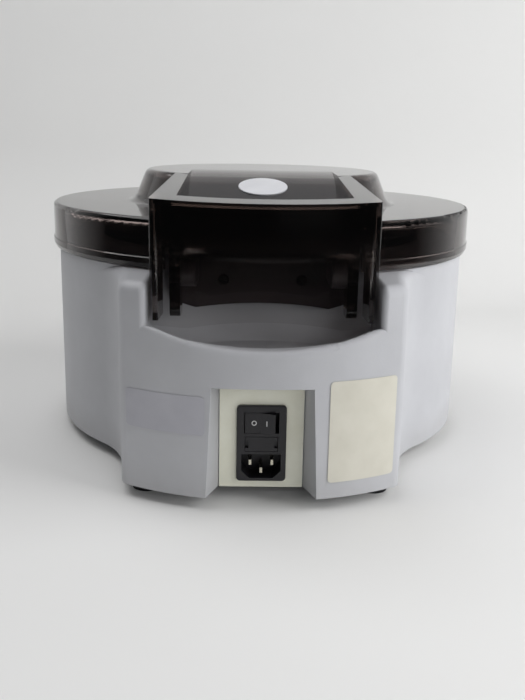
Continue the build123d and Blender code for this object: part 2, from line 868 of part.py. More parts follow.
# Three blades in the socket
with BuildPart() as inlet_pins:
    with BuildSketch(rear_plane.offset(inlet_face_y - socket_depth)):
        with Locations((-pin_spacing, pin_z), (pin_spacing, pin_z), (0, earth_pin_z)):
            Rectangle(pin_width, pin_height)
    extrude(amount=pin_length)
    fillet(edges().group_by(Axis.Y)[-1], radius=pin_width / 5)
inlet_pins.part.label = "inlet_pins"
export_step(inlet_pins.part, "parts/inlet_pins.step")

# Rocker of the mains switch, shown with its near side pressed
with BuildPart() as rocker:
    with BuildSketch(drum_plane.offset(rocker_mid_z)):
        with BuildLine():
            Polyline(
                (-rocker_half, rocker_front),
                (0, rocker_front - rocker_dip),
                (rocker_half, rocker_front),
                (rocker_half - rocker_taper, -rocker_pivot_radius),
                (0, -rocker_front),
                (rocker_taper - rocker_half, -rocker_pivot_radius),
                close=True,
            )
        make_face()
    extrude(amount=rocker_height / 2 - clearance, both=True)
    with BuildSketch(drum_plane.offset(rocker_mid_z)):
        Circle(rocker_pivot_radius)
    extrude(amount=rocker_height / 2 + rocker_pivot_radius - clearance, both=True)
rocker_pivot = Axis((0, drum_y, 0), (0, 0, 1))
rocker_part = rocker.part.rotate(rocker_pivot, -rocker_throw / 2).translate((0, rocker_pivot_y, 0))
rocker_part.label = "rocker"
export_step(rocker_part, "parts/rocker.step")

# Fuse drawer: a flush front with a finger notch at each end and a tray for two fuses
drawer_front = 4 * drawer_wall
drawer_length = drawer_depth - clearance
with BuildPart() as fuse_drawer:
    with BuildSketch(rear_plane.offset(inlet_face_y)):
        with Locations((0, drawer_mid_z)):
            Rectangle(drawer_width - 2 * clearance, drawer_height - 2 * clearance)
    extrude(amount=-drawer_length)
    with BuildSketch(rear_plane.offset(inlet_face_y)):
        with Locations((0, drawer_mid_z)):
            with Locations((-drawer_width / 2, 0), (drawer_width / 2, 0)):
                Rectangle(4 * drawer_wall, drawer_height / 2)
    extrude(amount=-drawer_front / 2, mode=Mode.SUBTRACT)
    with BuildSketch(drum_plane.offset(drawer_low_z + clearance + drawer_wall)):
        with Locations((0, inlet_face_y - (drawer_length + drawer_front) / 2)):
            Rectangle(
                drawer_width - 2 * (clearance + drawer_wall), drawer_length - drawer_front - 2 * drawer_wall
            )
    extrude(amount=drawer_height, mode=Mode.SUBTRACT)
fuse_drawer.part.label = "fuse_drawer"
export_step(fuse_drawer.part, "parts/fuse_drawer.step")

# Two cartridge fuses lying in the drawer
with BuildPart() as fuses:
    fuse_z = drawer_low_z + clearance + drawer_wall + fuse_radius
    fuse_y = inlet_face_y - (drawer_length + drawer_front) / 2
    for side in (-1, 1):
        with BuildSketch(rear_plane.offset(fuse_y)):
            with Locations((side * drawer_width / 4, fuse_z)):
                Circle(fuse_radius)
        extrude(amount=(drawer_length - drawer_front - 3 * drawer_wall) / 2, both=True)
fuses.part.label = "fuses"
export_step(fuses.part, "parts/fuses.step")


# A bare label plate that follows the hump's curved back
def label_plate(middle_u, middle_z, width, height):
    with BuildPart() as plate:
        with BuildSketch(drum_plane.offset(body_bottom)):
            with Locations((0, hump_arc_y)):
                Circle(hump_arc_radius + label_gap + label_thickness)
                Circle(hump_arc_radius + label_gap, mode=Mode.SUBTRACT)
        extrude(amount=shoulder_height)
        with BuildSketch(rear_plane.offset(hump_arc_y)):
            with Locations((middle_u, middle_z)):
                RectangleRounded(width, height, label_round)
        extrude(amount=rear_reach, mode=Mode.INTERSECT)
    return plate.part


mark_label = label_plate(mark_label_u, mark_label_z, mark_label_width, mark_label_height)
mark_label.label = "mark_label"
export_step(mark_label, "parts/mark_label.step")
data_label = label_plate(data_label_u, data_label_z, data_label_width, data_label_height)
data_label.label = "data_label"
export_step(data_label, "parts/data_label.step")

# Base pan: a flat plate inside the housing's lower edge, vented under the motor
with BuildPart() as base_pan:
    with BuildSketch(drum_plane.offset(body_bottom)):
        add(plan.sketch)
        offset(amount=-wall - clearance)
        for angle in pan_boss_angles:
            with PolarLocations(pan_boss_circle, 1, start_angle=angle):
                Circle(screw_hole_radius, mode=Mode.SUBTRACT)
        with Locations(foot_places):
            Circle(screw_hole_radius, mode=Mode.SUBTRACT)
        for ring in (1, 2, 3):
            with PolarLocations(vent_circle + ring * vent_pitch, vent_count):
                SlotOverall(vent_length, vent_width, rotation=90, mode=Mode.SUBTRACT)
    extrude(amount=pan_thickness)
    add(recess_space(wall + clearance), mode=Mode.SUBTRACT)
base_pan.part.label = "base_pan"
export_step(base_pan.part, "parts/base_pan.step")

# Screws from below that hold the pan to the housing's posts
with BuildPart() as pan_screws:
    for angle in pan_boss_angles:
        with BuildSketch(drum_plane.offset(body_bottom)):
            with PolarLocations(pan_boss_circle, 1, start_angle=angle):
                Circle(screw_head_radius)
        extrude(amount=-screw_head_height)
        with BuildSketch(drum_plane.offset(body_bottom)):
            with PolarLocations(pan_boss_circle, 1, start_angle=angle):
                Circle(screw_radius)
        extrude(amount=pan_screw_length)
pan_screws.part.label = "pan_screws"
export_step(pan_screws.part, "parts/pan_screws.step")

# Rubber feet under the front of the drum and the hump
with BuildPart() as feet:
    with BuildSketch(drum_plane.offset(foot_height)):
        with Locations(foot_places):
            Circle(foot_radius)
    extrude(amount=-foot_height, taper=foot_draft)
    with BuildSketch(drum_plane.offset(foot_height)):
        with Locations(foot_places):
            Circle(screw_hole_radius)
    extrude(amount=-foot_screw_length, mode=Mode.SUBTRACT)
feet.part.label = "feet"
export_step(feet.part, "parts/feet.step")

# Screws that hold the feet, their heads on the pan
with BuildPart() as foot_screws:
    with BuildSketch(drum_plane.offset(pan_top)):
        with Locations(foot_places):
            Circle(screw_head_radius)
    extrude(amount=screw_head_height)
    with BuildSketch(drum_plane.offset(pan_top)):
        with Locations(foot_places):
            Circle(screw_radius)
    extrude(amount=-pan_thickness - foot_screw_length + clearance)
foot_screws.part.label = "foot_screws"
export_step(foot_screws.part, "parts/foot_screws.step")

# Chamber bowl: spun steel, with a raised cone over the motor
with BuildPart() as bowl:
    with BuildSketch(section_plane):
        with BuildLine():
            Polyline(
                (bowl_flange_radius, deck_z),
                (bowl_flange_radius, deck_z + bowl_wall),
                (bowl_radius, deck_z + bowl_wall),
                (bowl_radius, bowl_floor_z),
                (bowl_cone_base, bowl_floor_z),
                (bowl_cone_top, bowl_cone_z),
                (bowl_hole, bowl_cone_z),
                (bowl_hole, bowl_cone_z - bowl_wall),
                (bowl_cone_top - bowl_wall, bowl_cone_z - bowl_wall),
                (bowl_cone_base - bowl_wall, bowl_floor_z - bowl_wall),
                (bowl_radius + bowl_wall, bowl_floor_z - bowl_wall),
                (bowl_radius + bowl_wall, deck_z),
                close=True,
            )
        make_face()
        inner_corner = vertices().filter_by(lambda v: abs(v.X - bowl_radius) < eps and v.Y == bowl_floor_z)
        fillet(inner_corner, radius=bowl_corner)
        outer_corner = vertices().filter_by(lambda v: v.X > bowl_radius and v.Y < bowl_floor_z)
        fillet(outer_corner, radius=bowl_corner + bowl_wall)
    revolve(axis=drum_axis)
bowl.part.label = "bowl"
export_step(bowl.part, "parts/bowl.step")

# Rubber seal on the bowl's flange
with BuildPart() as lid_seal:
    with BuildSketch(drum_plane.offset(deck_z + bowl_wall)):
        Circle(seal_rib_radius + seal_half_width)
        Circle(seal_rib_radius - seal_half_width, mode=Mode.SUBTRACT)
    extrude(amount=seal_height)
    fillet(edges().group_by(Axis.Z)[-1], radius=seal_height / 3)
lid_seal.part.label = "lid_seal"
export_step(lid_seal.part, "parts/lid_seal.step")

# Rubber boot between the motor and the bowl's hole
with BuildPart() as motor_boot:
    with BuildSketch(section_plane):
        with BuildLine():
            Polyline(
                (boot_inner, motor_top_z),
                (boot_outer, motor_top_z),
                (boot_outer, motor_top_z + boot_fold),
                (boot_waist, motor_top_z + 3 * boot_fold / 2),
                (boot_outer, motor_top_z + 2 * boot_fold),
                (boot_outer, bowl_cone_z - bowl_wall),
                (bowl_hole, bowl_cone_z - bowl_wall),
                (bowl_hole, bowl_cone_z + bowl_wall),
                (boot_inner, bowl_cone_z + bowl_wall),
                close=True,
            )
        make_face()
    revolve(axis=drum_axis)
motor_boot.part.label = "motor_boot"
export_step(motor_boot.part, "parts/motor_boot.step")

# Motor: flange, case and neck, bored for the shaft with a seat for each bearing
with BuildPart() as motor_case:
    with BuildSketch(section_plane):
        with BuildLine():
            Polyline(
                (bearing_radius, motor_low_z),
                (motor_radius, motor_low_z),
                (motor_radius, plate_z + plate_thickness),
                (motor_flange_radius, plate_z + plate_thickness),
                (motor_flange_radius, plate_z + plate_thickness + motor_flange_height),
                (motor_radius, plate_z + plate_thickness + motor_flange_height),
                (motor_radius, motor_shoulder_z),
                (motor_neck_radius, motor_shoulder_z + motor_flange_height),
                (motor_neck_radius, motor_top_z),
                (bearing_radius, motor_top_z),
                (bearing_radius, motor_top_z - bearing_height),
                (shaft_radius + wall, motor_top_z - bearing_height),
                (shaft_radius + wall, motor_low_z + bearing_height),
                (bearing_radius, motor_low_z + bearing_height),
                close=True,
            )
        make_face()
    revolve(axis=drum_axis)
    with BuildSketch(drum_plane.offset(plate_z + plate_thickness)):
        with PolarLocations(motor_screw_circle, motor_screw_count, start_angle=motor_screw_start):
            Circle(screw_hole_radius)
    extrude(amount=motor_flange_height, mode=Mode.SUBTRACT)
motor_case.part.label = "motor_case"
export_step(motor_case.part, "parts/motor_case.step")

# Ball bearings of the motor, as plain rings
with BuildPart() as motor_bearings:
    for low in (motor_low_z, motor_top_z - bearing_height):
        with BuildSketch(drum_plane.offset(low)):
            Circle(bearing_radius)
            Circle(shaft_radius + running_fit, mode=Mode.SUBTRACT)
        extrude(amount=bearing_height)
motor_bearings.part.label = "motor_bearings"
export_step(motor_bearings.part, "parts/motor_bearings.step")

# Plate that carries the motor on its rubber mounts
with BuildPart() as motor_plate:
    with BuildSketch(drum_plane.offset(plate_z)):
        Circle(plate_radius)
        Circle(motor_radius + clearance, mode=Mode.SUBTRACT)
        with PolarLocations(motor_screw_circle, motor_screw_count, start_angle=motor_screw_start):
            Circle(screw_hole_radius, mode=Mode.SUBTRACT)
    extrude(amount=plate_thickness)
    chamfer(edges().filter_by(GeomType.CIRCLE).sort_by(SortBy.RADIUS)[-2:], length=plate_thickness / 4)
motor_plate.part.label = "motor_plate"
export_step(motor_plate.part, "parts/motor_plate.step")

# Screws through the motor's flange and the plate
with BuildPart() as motor_screws:
    flange_top = plate_z + plate_thickness + motor_flange_height
    with BuildSketch(drum_plane.offset(flange_top)):
        with PolarLocations(motor_screw_circle, motor_screw_count, start_angle=motor_screw_start):
            Circle(screw_head_radius)
    extrude(amount=screw_head_height)
    with BuildSketch(drum_plane.offset(flange_top)):
        with PolarLocations(motor_screw_circle, motor_screw_count, start_angle=motor_screw_start):
            Circle(screw_radius)
    extrude(amount=-motor_flange_height - plate_thickness)
motor_screws.part.label = "motor_screws"
export_step(motor_screws.part, "parts/motor_screws.step")

# Rubber mounts between the pan and the motor's plate, waisted in the middle
with BuildPart() as motor_mounts:
    mount_middle_z = (pan_top + plate_z) / 2
    with BuildSketch(section_plane):
        with BuildLine():
            flank = ThreePointArc(
                (mount_circle + mount_radius, pan_top),
                (mount_circle + mount_waist, mount_middle_z),
                (mount_circle + mount_radius, plate_z),
            )
            Polyline(flank @ 1, (mount_circle, plate_z), (mount_circle, pan_top), flank @ 0)
        make_face()
    revolve(axis=Axis((mount_circle, drum_y, 0), (0, 0, 1)))
    one_mount = motor_mounts.part
    for turn in range(1, mount_count):
        add(one_mount.rotate(drum_axis, turn * 360 / mount_count))
motor_mounts.part.label = "motor_mounts"
export_step(motor_mounts.part, "parts/motor_mounts.step")

# Drive shaft: a collar for the rotor to sit on and a thinner end for the knob's thread
with BuildPart() as drive_shaft:
    with BuildSketch(section_plane):
        with BuildLine():
            Polyline(
                (0, motor_low_z + wall),
                (shaft_radius, motor_low_z + wall),
                (shaft_radius, rotor_hub_z - shaft_collar_height),
                (shaft_collar, rotor_hub_z - shaft_collar_height),
                (shaft_collar, rotor_hub_z),
                (shaft_radius, rotor_hub_z),
                (shaft_radius, rotor_hub_top_z - wall),
                (thread_radius, rotor_hub_top_z - wall + shaft_radius - thread_radius),
                (thread_radius, rotor_hub_top_z + thread_length - thread_point),
                (thread_radius - thread_point, rotor_hub_top_z + thread_length),
                (0, rotor_hub_top_z + thread_length),
                close=True,
            )
        make_face()
    revolve(axis=drum_axis)
drive_shaft.part.label = "drive_shaft"
export_step(drive_shaft.part, "parts/drive_shaft.step")

# The tube places lean in towards the shaft at the top
lean_sin = sin(radians(tube_angle))
lean_cos = cos(radians(tube_angle))
mouth_radius = sleeve_foot_radius - sleeve_length * lean_sin
mouth_z = sleeve_foot_z + sleeve_length * lean_cos
bore_radius = sleeve_radius + sleeve_gap


# Radius and height of a point beside a tube's axis: along it from the mouth, and out across it
def beside_tube(along, across):
    radius = mouth_radius - along * lean_sin + across * lean_cos
    height = mouth_z + along * lean_cos + across * lean_sin
    return (radius, height)


# Plane across a tube's axis at its mouth, facing out of the tube
def tube_plane(index):
    turn = radians(index * 360 / place_count)
    return Plane(
        origin=(mouth_radius * cos(turn), drum_y + mouth_radius * sin(turn), mouth_z),
        x_dir=(-sin(turn), cos(turn), 0),
        z_dir=(-lean_sin * cos(turn), -lean_sin * sin(turn), lean_cos),
    )


# Rotor: a turned cone with leaning bores for the sleeves and a hub on the shaft
rotor_half = bore_radius + rotor_web
rotor_low = -sleeve_length - rotor_foot
hub_along = (rotor_hub_z - mouth_z + rotor_half * lean_sin) / lean_cos
with BuildPart() as rotor:
    with BuildSketch(section_plane):
        with BuildLine():
            Polyline(
                (shaft_radius + running_fit, rotor_hub_z),
                beside_tube(hub_along, -rotor_half),
                beside_tube(rotor_low, -rotor_half),
                beside_tube(rotor_low, rotor_half),
                beside_tube(0, rotor_half),
                beside_tube(0, -rotor_half),
                (rotor_hub_radius + rotor_web, rotor_dish_z),
                (rotor_hub_radius, rotor_dish_z),
                (rotor_hub_radius, rotor_hub_top_z),
                (shaft_radius + running_fit, rotor_hub_top_z),
                close=True,
            )
        make_face()
        outer = beside_tube(rotor_low, rotor_half)
        outer_corner = vertices().filter_by(lambda v: hypot(v.X - outer[0], v.Y - outer[1]) < eps)
        fillet(outer_corner, radius=rotor_half / 2)
        upper = beside_tube(0, rotor_half)
        upper_corner = vertices().filter_by(lambda v: hypot(v.X - upper[0], v.Y - upper[1]) < eps)
        fillet(upper_corner, radius=rotor_web / 2)
    revolve(axis=drum_axis)
    for place in range(place_count):
        with BuildSketch(tube_plane(place).offset(sleeve_length)):
            Circle(bore_radius)
        extrude(amount=-2 * sleeve_length - sleeve_gap, mode=Mode.SUBTRACT)
        with BuildSketch(tube_plane(place).offset(-sleeve_seat)):
            Circle(sleeve_collar + clearance)
        extrude(amount=sleeve_length, mode=Mode.SUBTRACT)
rotor.part.label = "rotor"
export_step(rotor.part, "parts/rotor.step")

# One sleeve for each place: a closed steel tube with a collar that rests in the rotor's seat
bore_bottom = sleeve_floor - sleeve_length
bore_round = sleeve_bore - sleeve_seat
for place in range(place_count):
    with BuildPart() as sleeve:
        with BuildSketch(tube_plane(place)):
            Circle(sleeve_radius)
        extrude(amount=-sleeve_length)
        fillet(edges().filter_by(GeomType.CIRCLE).sort_by(Axis.Z)[0], radius=sleeve_bore)
        with BuildSketch(tube_plane(place).offset(-sleeve_seat)):
            Circle(sleeve_collar)
        extrude(amount=sleeve_collar_height)
        with BuildPart(mode=Mode.PRIVATE) as bore:
            with BuildSketch(tube_plane(place).offset(bore_bottom)):
                Circle(sleeve_bore)
            extrude(amount=2 * sleeve_length)
            fillet(edges().filter_by(GeomType.CIRCLE).sort_by(Axis.Z)[0], radius=bore_round)
        add(bore.part, mode=Mode.SUBTRACT)
    sleeve.part.label = f"tube_sleeve_{place + 1}"
    export_step(sleeve.part, f"parts/tube_sleeve_{place + 1}.step")

# Rubber cushions at the foot of the sleeves
with BuildPart() as sleeve_cushions:
    for place in range(place_count):
        with BuildSketch(tube_plane(place).offset(bore_bottom + sleeve_gap)):
            Circle(sleeve_bore - sleeve_gap)
        extrude(amount=cushion_height)
    fillet(edges().filter_by(GeomType.CIRCLE).group_by(Axis.Z)[0], radius=bore_round)
sleeve_cushions.part.label = "sleeve_cushions"
export_step(sleeve_cushions.part, "parts/sleeve_cushions.step")

# Rotor knob: fluted round the edge, threaded on to the shaft
knob_low_z = rotor_hub_top_z + clearance
with BuildPart() as rotor_knob:
    with BuildSketch(drum_plane.offset(knob_low_z)):
        Circle(knob_radius)
        with PolarLocations(knob_radius + knob_flute / 2, knob_flutes):
            Circle(knob_flute, mode=Mode.SUBTRACT)
    extrude(amount=knob_height)
    with BuildSketch(drum_plane.offset(knob_low_z)):
        Circle(knob_radius + knob_flute)
    extrude(amount=knob_base_height)
    with BuildSketch(drum_plane.offset(knob_low_z)):
        Circle(thread_radius + running_fit)
    extrude(amount=thread_length + clearance, mode=Mode.SUBTRACT)
    chamfer(edges().group_by(Axis.Z)[-1], length=knob_flute / 3)
rotor_knob.part.label = "rotor_knob"
export_step(rotor_knob.part, "parts/rotor_knob.step")

# Latch frame under the deck: a plate with a guide for the bolt
bolt_start_x = striker_thickness / 2 + fitting_gap
deck_under_z = deck_z - wall
guide_x = slot_half_width + latch_guide_length / 2
with BuildPart() as latch_frame:
    with BuildSketch(drum_plane.offset(deck_under_z)):
        with Locations((latch_plate_x, striker_y)):
            Rectangle(latch_plate_length, 2 * slot_half_depth + 2 * wall)
        with Locations((0, striker_y)):
            Rectangle(2 * slot_half_width, 2 * slot_half_depth, mode=Mode.SUBTRACT)
    extrude(amount=-striker_thickness)
    with BuildSketch(side_plane.offset(guide_x)):
        with Locations((striker_y, (deck_under_z + striker_low_z) / 2)):
            Rectangle(striker_depth, deck_under_z - striker_low_z)
    extrude(amount=latch_guide_length / 2, both=True)
    with BuildSketch(side_plane.offset(guide_x)):
        with Locations((striker_y, striker_eye_z)):
            Circle(bolt_radius + running_fit)
    extrude(amount=latch_guide_length, both=True, mode=Mode.SUBTRACT)
latch_frame.part.label = "latch_frame"
export_step(latch_frame.part, "parts/latch_frame.step")

# Latch bolt, drawn clear of the striker at rest
with BuildPart() as latch_bolt:
    with BuildSketch(side_plane.offset(bolt_start_x)):
        with Locations((striker_y, striker_eye_z)):
            Circle(bolt_radius)
    extrude(amount=bolt_length)
    chamfer(edges().group_by(Axis.X)[0], length=bolt_radius / 4)
latch_bolt.part.label = "latch_bolt"
export_step(latch_bolt.part, "parts/latch_bolt.step")

# Solenoid that drives the bolt, against the guide
solenoid_x = guide_x + latch_guide_length / 2
with BuildPart() as latch_solenoid:
    with BuildSketch(side_plane.offset(solenoid_x)):
        with Locations((striker_y, striker_eye_z)):
            Rectangle(solenoid_size, solenoid_size)
    extrude(amount=solenoid_length)
    with BuildSketch(side_plane.offset(solenoid_x)):
        with Locations((striker_y, striker_eye_z)):
            Circle(bolt_radius + clearance)
    extrude(amount=solenoid_length - wall, mode=Mode.SUBTRACT)
latch_solenoid.part.label = "latch_solenoid"
export_step(latch_solenoid.part, "parts/latch_solenoid.step")

# Switch that tells whether the lid is shut
with BuildPart() as lid_switch:
    with BuildSketch(drum_plane.offset(deck_under_z - striker_thickness)):
        with Locations((-lid_switch_x, striker_y)):
            Rectangle(lid_switch_length, lid_switch_width)
    extrude(amount=-lid_switch_height)
    with BuildSketch(side_plane.offset(-lid_switch_x)):
        with Locations((striker_y, deck_under_z - lid_switch_height)):
            Circle(screw_radius)
    extrude(amount=lid_switch_length, both=True, mode=Mode.SUBTRACT)
lid_switch.part.label = "lid_switch"
export_step(lid_switch.part, "parts/lid_switch.step")

# Keypad panel in the console, with windows for the display and the keys
key_x = [(place - (len(key_names) - 1) / 2) * key_pitch for place in range(len(key_names))]
with BuildPart() as keypad_panel:
    with BuildSketch(front_plane.offset(front_reach - keypad_thickness)):
        with Locations((0, keypad_z)):
            RectangleRounded(keypad_width, keypad_height, keypad_round)
        with Locations((0, display_z)):
            RectangleRounded(
                display_width + clearance, display_height + clearance, key_round, mode=Mode.SUBTRACT
            )
        with Locations([(x, key_row_z) for x in key_x]):
            RectangleRounded(
                key_width + 2 * clearance, key_height + 2 * clearance, key_round, mode=Mode.SUBTRACT
            )
    extrude(amount=keypad_thickness)
keypad_panel.part.label = "keypad_panel"
export_step(keypad_panel.part, "parts/keypad_panel.step")

# Keys: a cap that stands a little proud, a flange behind the panel and a stem to the board
switch_front_y = -board_y + switch_height
for name, x in zip(key_names, key_x):
    with BuildPart() as key:
        with BuildSketch(front_plane.offset(front_reach + key_proud)):
            with Locations((x, key_row_z)):
                RectangleRounded(key_width, key_height, key_round)
        extrude(amount=-key_proud - keypad_thickness - clearance)
        fillet(edges().group_by(Axis.Y)[0], radius=key_round / 3)
        with BuildSketch(front_plane.offset(front_reach - keypad_thickness - clearance)):
            with Locations((x, key_row_z)):
                RectangleRounded(key_width + key_lip, key_height + key_lip, key_round)
        extrude(amount=-key_lip / 2)
        stem_start = front_reach - keypad_thickness - clearance - key_lip / 2
        with BuildSketch(front_plane.offset(stem_start)):
            with Locations((x, key_row_z)):
                Circle(key_stem_radius)
        extrude(amount=switch_front_y + key_travel + clearance - stem_start)
    key.part.label = name
    export_step(key.part, f"parts/{name}.step")

# Display window in the panel
with BuildPart() as display_window:
    with BuildSketch(front_plane.offset(front_reach - keypad_thickness)):
        with Locations((0, display_z)):
            RectangleRounded(display_width, display_height, key_round)
    extrude(amount=keypad_thickness)
display_window.part.label = "display_window"
export_step(display_window.part, "parts/display_window.step")

# Control board behind the console, with the display module and a switch behind each key
with BuildPart() as control_board:
    with BuildSketch(front_plane.offset(-board_y)):
        with Locations((0, keypad_z)):
            Rectangle(board_width, board_height)
            with GridLocations(board_width - board_edge, board_height - board_edge, 2, 2):
                Circle(screw_hole_radius, mode=Mode.SUBTRACT)
    extrude(amount=-board_thickness)
    with BuildSketch(front_plane.offset(-board_y)):
        with Locations([(x, key_row_z) for x in key_x]):
            Rectangle(switch_size, switch_size)
    extrude(amount=switch_height)
control_board.part.label = "control_board"
export_step(control_board.part, "parts/control_board.step")

# Display module between the window and the board
with BuildPart() as display_module:
    with BuildSketch(front_plane.offset(-board_y)):
        with Locations((0, display_z)):
            Rectangle(display_width - wall, display_height - wall)
    extrude(amount=front_reach - keypad_thickness - clearance + board_y)
display_module.part.label = "display_module"
export_step(display_module.part, "parts/display_module.step")

# Spacers between the console wall and the control board
with BuildPart() as board_spacers:
    with BuildSketch(front_plane.offset(-board_y)):
        with Locations((0, keypad_z)):
            with GridLocations(board_width - board_edge, board_height - board_edge, 2, 2):
                Circle(wall)
                Circle(screw_hole_radius, mode=Mode.SUBTRACT)
    extrude(amount=front_reach - keypad_thickness - wall + board_y)
board_spacers.part.label = "board_spacers"
export_step(board_spacers.part, "parts/board_spacers.step")

# Power board on the pan under the hump, with its transformer and capacitors
with BuildPart() as power_board:
    with BuildSketch(drum_plane.offset(pan_top + spacer_height)):
        with Locations((power_x, power_y)):
            Rectangle(power_width, power_length)
    extrude(amount=board_thickness)
    with BuildSketch(drum_plane.offset(pan_top + spacer_height + board_thickness)):
        with Locations((power_x, power_y - power_length / 4)):
            Rectangle(transformer_width, transformer_length)
    extrude(amount=transformer_height)
    with BuildSketch(drum_plane.offset(pan_top + spacer_height + board_thickness)):
        with Locations((power_x, power_y + power_length / 4)):
            with GridLocations(capacitor_pitch, capacitor_pitch, 2, 2):
                Circle(capacitor_radius)
    extrude(amount=capacitor_height)
    with BuildSketch(drum_plane.offset(pan_top)):
        with Locations((power_x, power_y)):
            with GridLocations(power_width - board_edge, power_length - board_edge, 2, 2):
                Circle(wall)
    extrude(amount=spacer_height)
power_board.part.label = "power_board"
export_step(power_board.part, "parts/power_board.step")

# Speed sensor standing on the motor's flange
with BuildPart() as speed_sensor:
    with BuildSketch(drum_plane.offset(plate_z + plate_thickness + motor_flange_height)):
        with Locations((motor_radius + sensor_size / 2 + clearance, 0)):
            Rectangle(sensor_size, 2 * sensor_size)
    extrude(amount=sensor_height)
speed_sensor.part.label = "speed_sensor"
export_step(speed_sensor.part, "parts/speed_sensor.step")

# Screws that hold the hinge block to the pocket's front wall
with BuildPart() as block_screws:
    for side in (-1, 1):
        with BuildSketch(rear_plane.offset(block_back_y)):
            with Locations((side * block_screw_x, (block_lower_mid_z + deck_z) / 2)):
                Circle(screw_head_radius)
        extrude(amount=screw_head_height)
block_screws.part.label = "block_screws"
export_step(block_screws.part, "parts/block_screws.step")
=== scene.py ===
import math

import bmesh
import bpy
from mathutils import Matrix, Vector


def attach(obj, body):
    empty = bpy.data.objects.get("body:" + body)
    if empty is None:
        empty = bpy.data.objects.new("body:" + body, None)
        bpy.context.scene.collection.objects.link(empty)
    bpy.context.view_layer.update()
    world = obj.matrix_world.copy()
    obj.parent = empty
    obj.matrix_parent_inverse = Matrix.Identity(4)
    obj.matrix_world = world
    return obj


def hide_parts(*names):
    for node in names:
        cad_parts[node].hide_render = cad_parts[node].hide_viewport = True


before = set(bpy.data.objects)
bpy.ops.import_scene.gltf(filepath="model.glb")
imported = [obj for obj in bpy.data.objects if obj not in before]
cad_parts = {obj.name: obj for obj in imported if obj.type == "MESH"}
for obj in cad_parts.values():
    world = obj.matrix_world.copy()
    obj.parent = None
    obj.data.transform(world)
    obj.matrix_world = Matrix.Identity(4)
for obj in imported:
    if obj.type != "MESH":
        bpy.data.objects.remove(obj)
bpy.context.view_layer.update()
scene = bpy.context.scene
mm = 0.001
drumY = -18.4  # the drum's axis stands this far in front of the origin, in mm


def point(x, y, z):
    return Vector((x * mm, (drumY + y) * mm, z * mm))


def colour(code):
    parts = [int(code[i : i + 2], 16) / 255 for i in (1, 3, 5)]
    return tuple(c / 12.92 if c <= 0.04045 else ((c + 0.055) / 1.055) ** 2.4 for c in parts) + (1.0,)


# a value that is a socket is linked, anything else is set
def addNode(tree, kind, values=None, **settings):
    node = tree.nodes.new(kind)
    for name, value in settings.items():
        setattr(node, name, value)
    for socket, value in (values or {}).items():
        if isinstance(value, bpy.types.NodeSocket):
            tree.links.new(value, node.inputs[socket])
        else:
            node.inputs[socket].default_value = value
    return node


# a new material, its node tree, its shader and the place on the piece in metres
def startMaterial(name):
    material = bpy.data.materials.new(name)
    material.use_nodes = True
    tree = material.node_tree
    shader = tree.nodes["Principled BSDF"]
    place = addNode(tree, "ShaderNodeTexCoord").outputs["Object"]
    return material, tree, shader, place


print("camera")
# lens and place in mm, turns in degrees
cameraSetup = {
    "lens": 46.24,
    "place": (10.42, 722.5, 236.0),
    "yaw": 1.08,
    "pitch": 14.42,
    "roll": -1.06,
}


def setCamera():
    data = bpy.data.cameras.new("camera")
    data.lens = cameraSetup["lens"]
    data.sensor_width = 36
    data.clip_start = 0.01
    camera = bpy.data.objects.new("camera", data)
    scene.collection.objects.link(camera)
    yaw, pitch, roll = (math.radians(cameraSetup[k]) for k in ("yaw", "pitch", "roll"))
    right = Vector((-math.cos(yaw), math.sin(yaw), 0))
    ahead = Vector((-math.sin(yaw) * math.cos(pitch), -math.cos(yaw) * math.cos(pitch), -math.sin(pitch)))
    above = right.cross(ahead)
    turnedRight = math.cos(roll) * right - math.sin(roll) * above
    turnedAbove = math.sin(roll) * right + math.cos(roll) * above
    turn = Matrix((turnedRight, turnedAbove, -ahead)).transposed().to_4x4()
    camera.matrix_world = Matrix.Translation(point(*cameraSetup["place"])) @ turn
    scene.camera = camera


setCamera()
scene.view_settings.view_transform = "Standard"

print("stage and light")
# lengths and places in mm from the drum's axis, sizes of the lamps in metres
stageSetup = {
    "floorDarkHex": "#E9E9E8",
    "floorHex": "#EEEEED",
    "halfWidth": 850,
    "floorFrom": 560,  # towards the camera
    "wallBehind": -620,
    "wallTop": 500,
    "bendRadius": 200,
    "bendSteps": 12,
    "seenHex": "#F4F4F4",
    "litHex": "#E4E4E4",
    "ceilingHex": "#A0A0A2",
    "dimHex": "#303032",
    "ceilingFrom": (0.2, 0.6),  # Z of a direction, from where the room is lit to where it is ceiling
    "dimFrom": (-0.6, 0.0),  # Y of a direction, from lit to dim; the camera stands at +Y
    "aimAt": (0, 0, 90),
    "keyPower": 11.2,
    "keyPlace": (-950, 330, 600),
    "keySize": 1.0,
    "topPower": 8.0,
    "topPlace": (500, -50, 1200),
    "topSize": 1.1,
    "fillPower": 4.15,
    "fillPlace": (-500, 1370, 470),
    "fillSize": 0.8,
}


